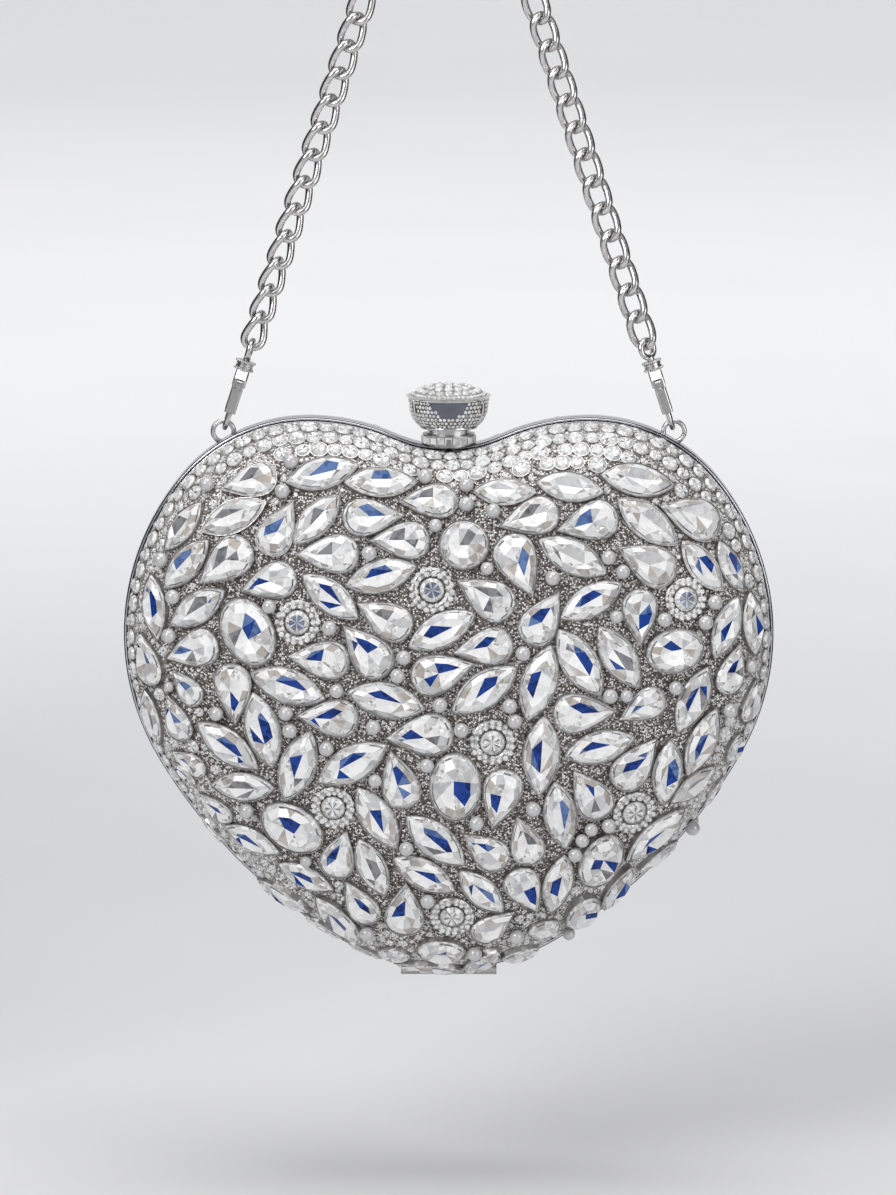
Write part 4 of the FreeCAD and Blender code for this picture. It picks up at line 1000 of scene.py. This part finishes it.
# %% Pave on the knob
NECK_LENGTH = 1.6 * MM
BOWL_LOW = knob_low.z + NECK_LENGTH
BOWL_HEIGHT = knob_high.z - BOWL_LOW
PAVE_RADIUS = 0.53 * MM
PAVE_PITCH = 1.06 * MM
PAVE_STEPS = 300
PAVE_ROW_SHARE = 0.95
PAVE_FOOT, PAVE_HEAD = 1.5 * MM, BOWL_HEIGHT - 1.1 * MM
PAVE_DRIFT_SHARES, PAVE_SIZE_SHARES = (-0.08, 0.08), (0.8, 1.0)
RIB_ANGLES = (62, 118, 242, 298)
RIB_RADIUS = 0.32 * MM
MIRROR_ANGLE = 29
MIRROR_FOOT_SHARE, MIRROR_ARCH_SHARE = 0.42, 0.4
FAR_OUT = 40 * MM
cup_tree = tree_of("knob_cup")


def knob_spoke(angle):
    """A level unit step away from the knob's axis; 0 degrees faces the viewer."""
    return Vector((math.sin(math.radians(angle)), -math.cos(math.radians(angle)), 0))


def on_cup(angle, height):
    """The cup's outer skin and its normal at an angle and a height above the bowl's foot."""
    spoke = knob_spoke(angle)
    start = Vector((0, PARTING_Y, BOWL_LOW + height)) + spoke * FAR_OUT
    return cup_tree.ray_cast(start, -spoke)[:2]


def pave_heights(first, last):
    """Heights of the pave's rows, evenly spaced along the cup's curved wall."""
    heights = []
    walked = PAVE_PITCH
    place = on_cup(0, first)[0]
    for step in range(PAVE_STEPS):
        height = first + (last - first) * step / (PAVE_STEPS - 1)
        there = on_cup(0, height)[0]
        walked += (there - place).length
        place = there
        if walked >= PAVE_PITCH * PAVE_ROW_SHARE:
            heights.append(height)
            walked = 0
    return heights


def is_bare(angle, height, radius):
    """Whether a spot lies on a rib or in the mirror under the lip."""
    off = min(abs((angle - rib + 180) % 360 - 180) for rib in RIB_ANGLES)
    if math.radians(off) * radius < RIB_RADIUS + PAVE_RADIUS:
        return True
    share = abs((angle + 180) % 360 - 180) / MIRROR_ANGLE
    return share < 1 and height / BOWL_HEIGHT > MIRROR_FOOT_SHARE + MIRROR_ARCH_SHARE * share * share


draft = Draft()
for row, height in enumerate(pave_heights(PAVE_FOOT, PAVE_HEAD)):
    radius = (on_cup(0, height)[0] - Vector((0, PARTING_Y, BOWL_LOW + height))).length
    count = math.floor(2 * math.pi * radius / PAVE_PITCH)
    for place in range(count):
        angle = 360 * (place + row % 2 / 2 + draw.uniform(*PAVE_DRIFT_SHARES)) / count
        if is_bare(angle, height, radius):
            continue
        spot, normal = on_cup(angle, height)
        size = 2 * PAVE_RADIUS * draw.uniform(*PAVE_SIZE_SHARES)
        round_stone(draft, round_seat(spot, normal, size), SMALL_CORNERS, None, draw)
draft.piece("knob_pave", crystals, "clasp_knob")

# %% Ribs and foot ring of the knob
TUBE_SIDES = 8
RIB_STEPS = 14
RIB_FOOT, RIB_LENGTH = 1.0 * MM, BOWL_HEIGHT - 1.9 * MM
FOOT_HEIGHT, FOOT_RADIUS = 0.62 * MM, 0.42 * MM
FOOT_STEP = 10


def tube(draft, points, outward, radius, closed):
    """Add round wire through points; outward gives a direction that is square to the wire at each."""
    count = len(points)
    rings = []
    for place, point in enumerate(points):
        before = points[place - 1] if closed or place else point
        after = points[(place + 1) % count] if closed or place < count - 1 else point
        heading = (after - before).normalized()
        aside = heading.cross(outward[place]).normalized()
        upright = aside.cross(heading)
        for angle in turns(TUBE_SIDES):
            rings.append(point + (upright * math.cos(angle) + aside * math.sin(angle)) * radius)
    last = (count - 1) * TUBE_SIDES
    wall = hoop(count, TUBE_SIDES)
    wall = wall if closed else wall[:last]
    faces = [[here, ahead, ahead_beside, beside] for here, beside, ahead_beside, ahead in wall]
    if not closed:
        faces.append(list(range(TUBE_SIDES)))
        faces.append(list(range(last + TUBE_SIDES - 1, last - 1, -1)))
    draft.add(rings, faces, 0)


draft = Draft()
for angle in RIB_ANGLES:
    heights = [RIB_FOOT + RIB_LENGTH * step / RIB_STEPS for step in range(RIB_STEPS + 1)]
    course = [on_cup(angle, height)[0] for height in heights]
    tube(draft, course, [knob_spoke(angle)] * len(course), RIB_RADIUS, False)
foot_angles = range(0, 360, FOOT_STEP)
foot = [on_cup(angle, FOOT_HEIGHT)[0] for angle in foot_angles]
tube(draft, foot, [knob_spoke(angle) for angle in foot_angles], FOOT_RADIUS, True)
draft.piece("knob_ribs", [finishes["plating"]], "clasp_knob", True)

# %% Beads along the frames' lips
BEAD_STEPS = 260
BEADS = ((0.42 * MM, 0.26 * MM), (1.12 * MM, 0.2 * MM))
OUTSIDE_HEART = 0.2
heart_middle = Vector((0, 0, (shell_low.z + shell_high.z) / 2))


def heart_spoke(angle):
    """A unit step away from the heart's middle, square to the line of sight."""
    return Vector((math.cos(angle), 0, math.sin(angle)))


for side, body in BODIES.items():
    tree = tree_of(side + "frame")
    toward = -1 if side == "front_" else 1
    face_y = PARTING_Y + toward * LIP_FACE
    draft = Draft()
    for inset, radius in BEADS:
        course = []
        for angle in turns(BEAD_STEPS):
            spoke = heart_spoke(angle)
            start = heart_middle + spoke * OUTSIDE_HEART + Vector((0, face_y - toward * MM, 0))
            edge, normal = tree.ray_cast(start, -spoke)[:2]
            through_bore = (edge - heart_middle).dot(spoke) < 0
            if not through_bore:
                course.append(Vector((edge.x, face_y, edge.z)) - Vector((normal.x, 0, normal.z)) * inset)
        tube(draft, course, [Vector((0, toward, 0))] * len(course), radius, True)
    draft.piece(side + "lip_beads", [finishes["plating"]], body, True)

# %% [markdown]
# The purse hangs with a slow turn in its left run: every link is turned a little further about the run
# than the one above it, and the hook's eye as far as the last link.

# %% Turned links of the left run
LEFT_RUN_TURN = math.radians(40)
OFF_RUN = 1 * MM


def turned_run(node, axis, foot, run_length, name):
    """Turn each solid of a node about the run, the more the nearer it is to the run's foot."""
    mesh, solids = loose_solids(node)
    draft = Draft()
    for faces in solids:
        corners = {corner: corner.co - foot for face in faces for corner in face.verts}
        middle = sum(corners.values(), Vector()) / len(corners)
        along = middle.dot(axis)
        on_run = (middle - axis * along).length < OFF_RUN
        turn = LEFT_RUN_TURN * (1 - along / run_length) if on_run else 0
        spin = Matrix.Rotation(turn, 3, axis)
        place = {corner: number for number, corner in enumerate(corners)}
        points = [foot + spin @ offset for offset in corners.values()]
        draft.add(points, [[place[corner] for corner in face.verts] for face in faces], 0)
    mesh.free()
    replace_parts(draft.piece(name, [finishes["chain"]], "strap", True), node)


left_axis, left_foot = Vector(joints["left_swivel"]["axis"]), Vector(joints["left_swivel"]["pos_m"])
left_run = (Vector((0, 0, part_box("left_chain_links")[1].z)) - left_foot).dot(left_axis)
turned_run("left_chain_links", left_axis, left_foot, left_run, "left_turned_links")
turned_run("left_swivel_eye", left_axis, left_foot, left_run, "left_turned_eye")

# %% [markdown]
# Each spring is copied from its solid. The latch leaf and the gate springs are also cut across at even
# steps, from the end on the body that holds them towards the body that pushes them.

# %% Springs cut across between two bodies
LEAF_CUTS = 24
HELD_LENGTH = 0.5 * MM
GATE_SPRING_REACH_SHARE = 5


def bending_spring(node, held, pushing, start, end, cuts):
    """Copy a spring's form, cut across at even steps from a held end towards a pushed one."""
    spring = welded(node)
    for cut in range(1, cuts):
        parts = spring.verts[:] + spring.edges[:] + spring.faces[:]
        bmesh.ops.bisect_plane(spring, geom=parts, plane_co=start.lerp(end, cut / cuts), plane_no=end - start)
    mesh = bpy.data.meshes.new(node + "_bending")
    spring.to_mesh(mesh)
    spring.free()
    mesh.materials.append(finishes["spring"])
    made = show(node + "_bending", mesh)
    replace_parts(made, node)
    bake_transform(made)
    print(made.name, len(mesh.polygons), "faces between", held, "and", pushing)


coil_low, coil_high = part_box("return_spring")
bending_spring("return_spring", "case_back", "clasp_knob", Vector((0, PARTING_Y, coil_low.z)),
               Vector((0, PARTING_Y, coil_high.z)), 1)
leaf_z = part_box("latch_leaf")[0].z
leaf_start = Vector((0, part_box("latch_bracket")[0].y + HELD_LENGTH, leaf_z))
leaf_end = Vector((0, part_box("knob_stem")[1].y, leaf_z))
bending_spring("latch_leaf", "case_back", "clasp_knob", leaf_start, leaf_end, LEAF_CUTS)
for side in ("left", "right"):
    axis = Vector(joints[side + "_swivel"]["axis"])
    corners = [corner.co for corner in nodes[side + "_gate_spring"].data.vertices]
    upper = max(corners, key=lambda corner: corner.dot(axis))
    lower = min(corners, key=lambda corner: corner.dot(axis))
    length = (upper - lower).dot(axis)
    end = upper - axis * length * GATE_SPRING_REACH_SHARE
    bending_spring(side + "_gate_spring", side + "_hook", side + "_gate", upper.copy(), end, LEAF_CUTS)

# %% Beaded rings on the hooks' collars
COLLAR_BEADS = 24
COLLAR_BEAD_RADIUS = 0.3 * MM
COLLAR_BEAD_REACH = 2.25 * MM
COLLAR_BEAD_LEVELS = (0.3 * MM, 2.15 * MM)
BEAD_ROWS, BEAD_SIDES = 6, 8
BEAD_TOP = (BEAD_ROWS - 2) * BEAD_SIDES
bead_faces = [list(range(BEAD_SIDES - 1, -1, -1)), list(range(BEAD_TOP, BEAD_TOP + BEAD_SIDES))]
for low in range(0, BEAD_TOP, BEAD_SIDES):
    bead_faces += band(low, low + BEAD_SIDES, BEAD_SIDES)
for body in ("left_hook", "right_hook"):
    swivel = joints[body.replace("hook", "swivel")]
    axis = Vector(swivel["axis"])
    across = axis.cross(Vector((0, 1, 0))).normalized()
    draft = Draft()
    for level in COLLAR_BEAD_LEVELS:
        for angle in turns(COLLAR_BEADS):
            spoke = across * math.cos(angle) + Vector((0, math.sin(angle), 0))
            bead = Vector(swivel["pos_m"]) - axis * level + spoke * COLLAR_BEAD_REACH
            points = []
            for row in range(1, BEAD_ROWS):
                tilt = math.pi * row / BEAD_ROWS
                for turn in turns(BEAD_SIDES):
                    flat = across * math.cos(turn) + Vector((0, math.sin(turn), 0))
                    points.append(bead + (flat * math.sin(tilt) - axis * math.cos(tilt)) * COLLAR_BEAD_RADIUS)
            draft.add(points, bead_faces, 0)
    draft.piece(body + "_collar_beads", [finishes["chain"]], body, True)

# %% Stones on the knob's lid
LID_RINGS = ((0.0, 1, 1.3 * MM), (2.6 * MM, 6, 1.2 * MM), (5.1 * MM, 13, 1.15 * MM),
             (7.4 * MM, 21, 1.02 * MM), (9.05 * MM, 46, 0.55 * MM))
LID_CORNERS = 8
LID_SPOKES = ((WHITE, PALE), (WHITE, SLATE, PALE), (PALE, RIM))
lid_tree = tree_of("knob_cap")
lid_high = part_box("knob_cap")[1].z
draft = Draft()
for reach, count, radius in LID_RINGS:
    for place in range(count):
        over = Vector((0, PARTING_Y, lid_high + FAR_OUT)) + knob_spoke(360 * place / count) * reach
        spot, normal = lid_tree.ray_cast(over, Vector((0, 0, -1)))[:2]
        round_stone(draft, round_seat(spot, normal, 2 * radius), LID_CORNERS, draw.choice(LID_SPOKES), draw)
draft.piece("knob_lid_stones", crystals, "clasp_knob")

# %% Baguettes round the collar
collar_low, collar_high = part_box("clasp_collar")
COLLAR_RADIUS = (collar_high.x - collar_low.x) / 2
BAGUETTES = 20
BAGUETTE_WIDTH, BAGUETTE_HEIGHT, BAGUETTE_RISE = 1.7 * MM, 1.9 * MM, 0.38 * MM
BAGUETTE_SINK, BAGUETTE_DROP = 0.15 * MM, 1.35 * MM
BAGUETTE_PROFILE_SHARES = ((1, 0), (1, 0.3), (0.72, 1))
SQUARE = ((-1, -1), (1, -1), (1, 1), (-1, 1))
faces = [[3, 2, 1, 0], [8, 9, 10, 11]] + band(0, 4, 4) + band(4, 8, 4)
draft = Draft()
for place in range(BAGUETTES):
    spoke = knob_spoke(360 * place / BAGUETTES)
    side = Vector((0, 0, 1)).cross(spoke)
    middle = Vector((0, PARTING_Y, collar_high.z - BAGUETTE_DROP)) + spoke * (COLLAR_RADIUS - BAGUETTE_SINK)
    points = []
    for share, height in BAGUETTE_PROFILE_SHARES:
        for across, up in SQUARE:
            flat = side * (across * share * BAGUETTE_WIDTH / 2)
            flat += Vector((0, 0, up * share * BAGUETTE_HEIGHT / 2))
            points.append(middle + flat + spoke * (height * (BAGUETTE_RISE + BAGUETTE_SINK)))
    table = SLATE if place == 0 else draw.choice((WHITE, WHITE, PALE))
    draft.add(points, faces, [RIM, table] + [draw.choice((RIM, PALE, WHITE)) for face in faces[2:]])
draft.piece("collar_baguettes", crystals, "case_back")

# %% [markdown]
# Inside, satin over thin foam is stitched in diamonds to a board that follows the shell, and a thin
# cord hides its edge. Rays from the middle of the purse find the board that the solids give.

# %% Quilted linings
LINING_ROUND, LINING_RINGS = 220, 56
LINING_DEPTH = 0.85 * MM
LINING_REACH_SHARE, LINING_START_SHARE = 0.997, 0.25
QUILT_PUFF = 1.5 * MM
QUILT_EDGE_SHARE = 0.12
CORD_RADIUS = 0.5 * MM
CORD_INSET, CORD_RISE = CORD_RADIUS * 0.6, CORD_RADIUS + 0.15 * MM
BELOW_MOUTH = 0.3 * MM
HEART_MIDDLE_SHARE = 0.45


def quilted_lining(side, toward, body):
    """Make one half's lining and its edge cord."""
    tree = tree_of(side + "lining")
    low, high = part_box(side + "lining")
    mouth_y = high.y if toward < 0 else low.y
    inward = Vector((0, toward, 0))
    middle = Vector((0, mouth_y, shell_high.z - HEART_MIDDLE_SHARE * HEART_HEIGHT))
    spokes = [heart_spoke(angle) for angle in turns(LINING_ROUND, 1 / 2)]
    inner = []
    outer = []
    edge = []
    for spoke in spokes:
        wall = tree.ray_cast(middle + inward * BELOW_MOUTH, spoke)[0]
        reach = (wall - middle).dot(spoke)
        edge.append(middle + spoke * (reach - CORD_INSET) + inward * CORD_RISE)
        for ring in range(LINING_RINGS):
            share = math.cos(math.pi / 2 * (ring + LINING_START_SHARE) / LINING_RINGS) ** (2 / 3)
            start = middle + spoke * (reach * share * LINING_REACH_SHARE)
            spot, normal = tree.ray_cast(start - inward * MM, inward)[:2]
            one = math.sin(math.pi * (spot.x + spot.z) / QUILT_PITCH)
            other = math.sin(math.pi * (spot.x - spot.z) / QUILT_PITCH)
            puff = QUILT_PUFF * math.sqrt(abs(one * other)) * min(1, (1 - share) / QUILT_EDGE_SHARE)
            inner.append(spot + normal * puff)
            outer.append(spot - normal * LINING_DEPTH)
    pole, pole_normal = tree.ray_cast(middle, inward)[:2]
    total = LINING_ROUND * LINING_RINGS
    last = LINING_RINGS - 1
    faces = []
    for place in range(LINING_ROUND):
        here = place * LINING_RINGS
        beside = (place + 1) % LINING_ROUND * LINING_RINGS
        for ring in range(last):
            square = [here + ring, here + ring + 1, beside + ring + 1, beside + ring]
            faces.append(square)
            faces.append([total + corner for corner in square[::-1]])
        faces.append([here, beside, total + beside, total + here])
        faces.append([here + last, 2 * total, beside + last])
        faces.append([total + beside + last, 2 * total + 1, total + here + last])
    if toward > 0:
        faces = [face[::-1] for face in faces]
    draft = Draft()
    draft.add(inner + outer + [pole, pole - pole_normal * LINING_DEPTH], faces, 0)
    lining = draft.piece(side + "quilted_lining", [finishes["lining"]], body, True)
    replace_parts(lining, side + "lining")
    draft = Draft()
    tube(draft, edge, spokes, CORD_RADIUS, True)
    draft.piece(side + "lining_cord", [finishes["lining"]], body, True)


quilted_lining("front_", -1, "case_front")
quilted_lining("rear_", 1, "case_back")

# %% [markdown]
# The floor and the backdrop are one pale sheet. The purse hangs by its strap, high enough over the
# floor for its front half to fold open. The camera looks at the purse as the photograph does: straight
# on, a little from above, and from far enough away that the dome isn't stretched. Two dark cards stand
# beside the purse, out of sight, because bright metal in an all white room has no edges.

# %% Floor, light and camera
PHOTO_WIDTH, PHOTO_HEIGHT = 896, 1195
HEART_LEFT_PX, HEART_RIGHT_PX, LOBE_TOP_PX = 128, 769.4, 420
FLOOR_GAP = 52 * MM
FLOOR_PATCH, CARD_PATCH = 120 * MM, 10 * MM
SHEET_REACH, SHEET_FRONT, SHEET_BACK, SHEET_TOP = 4.5, -4.2, 4.4, 3.4
SHEET_BEND, SHEET_STEPS = 1.6, 8
CARDS = {"card_left": -0.34, "card_right": 0.34}
CARD_FRONT, CARD_BACK, CARD_FOOT, CARD_TOP = -0.12, 0.3, -0.36, 0.25
PURSE_LAMPS = {"key": ((-0.7, -0.9, 0.55), 0.6, 8.5), "fill": ((0.9, -0.8, 0.1), 0.7, 4),
               "top": ((0.0, -0.1, 0.75), 0.8, 6)}
BACKDROP_LAMP = ((0.0, 1.5, 1.8), 2.0, 60)
BACKDROP_AIM = Vector((0, 3.4, 0.2))
ROOM_COLOUR, ROOM_LIGHT = (0.8, 0.82, 0.86, 1), 0.25
CAMERA_TILT = math.radians(9.0)
CAMERA_DISTANCE = 2.2
SENSOR = 36.0


def make_stage():
    """One sheet that runs back and curves up behind the purse."""
    floor_z = cad_box[0].z - FLOOR_GAP
    bend_y = SHEET_BACK - SHEET_BEND
    profile = [(SHEET_FRONT, floor_z), (bend_y, floor_z)]
    for step in range(1, SHEET_STEPS + 1):
        angle = math.pi / 2 * step / SHEET_STEPS
        profile.append((bend_y + SHEET_BEND * math.sin(angle), floor_z + SHEET_BEND * (1 - math.cos(angle))))
    profile.append((SHEET_BACK, SHEET_TOP))
    points = [(side * SHEET_REACH, y, z) for y, z in profile for side in (-1, 1)]
    faces = [[2 * row, 2 * row + 1, 2 * row + 3, 2 * row + 2] for row in range(len(profile) - 1)]
    pale = clouded("floor_pale", FLOOR_PATCH, (0.74, 0.74, 0.75), (0.78, 0.78, 0.785), Roughness=0.6,
                   Specular_IOR_Level=0.3)
    floor = form("floor", points, faces, [pale], True)


def dark_card(name, x):
    """A tall dark card beside the purse, for the metal to mirror."""
    felt = clouded(name, CARD_PATCH, (0.012, 0.012, 0.013), (0.02, 0.02, 0.022), Roughness=0.9)
    corners = [(x, CARD_FRONT, CARD_FOOT), (x, CARD_BACK, CARD_FOOT), (x, CARD_BACK, CARD_TOP),
               (x, CARD_FRONT, CARD_TOP)]
    card = form(name, corners, [[0, 1, 2, 3]], [felt])
    card.visible_camera = False


def lamp(name, aim, place, size, power):
    """A square soft box at a place, turned towards a point."""
    data = bpy.data.lights.new(name, "AREA")
    data.size = size
    data.energy = power
    made = show(name, data)
    made.location = place
    made.rotation_euler = (aim - Vector(place)).to_track_quat("-Z", "Y").to_euler()
    made.visible_camera = False


def make_camera():
    """The camera, set so that the heart lies in the picture where the photograph has it."""
    pixel = (shell_high.x - shell_low.x) / (HEART_RIGHT_PX - HEART_LEFT_PX)
    sight = Vector((0, math.cos(CAMERA_TILT), -math.sin(CAMERA_TILT)))
    upward = Vector((0, math.sin(CAMERA_TILT), math.cos(CAMERA_TILT)))
    target = Vector((0, 0, shell_high.z)) - upward * ((PHOTO_HEIGHT / 2 - LOBE_TOP_PX) * pixel)
    target.x += (PHOTO_WIDTH / 2 - (HEART_LEFT_PX + HEART_RIGHT_PX) / 2) * pixel
    data = bpy.data.cameras.new("camera")
    data.sensor_width = SENSOR
    data.lens = SENSOR * CAMERA_DISTANCE / (PHOTO_HEIGHT * pixel)
    made = show("camera", data)
    made.location = target - sight * CAMERA_DISTANCE
    made.rotation_euler = sight.to_track_quat("-Z", "Y").to_euler()
    bpy.context.scene.camera = made
    return target


make_stage()
target = make_camera()
for name, x in CARDS.items():
    dark_card(name, x)
for name, settings in PURSE_LAMPS.items():
    lamp(name, target, *settings)
lamp("backdrop", BACKDROP_AIM, *BACKDROP_LAMP)
world = bpy.data.worlds.new("studio")
world.use_nodes = True
room = world.node_tree.nodes["Background"].inputs
room[0].default_value = ROOM_COLOUR
room[1].default_value = ROOM_LIGHT
scene = bpy.context.scene
scene.world = world
scene.view_settings.view_transform = "Standard"
print("camera aims at", tuple(target))
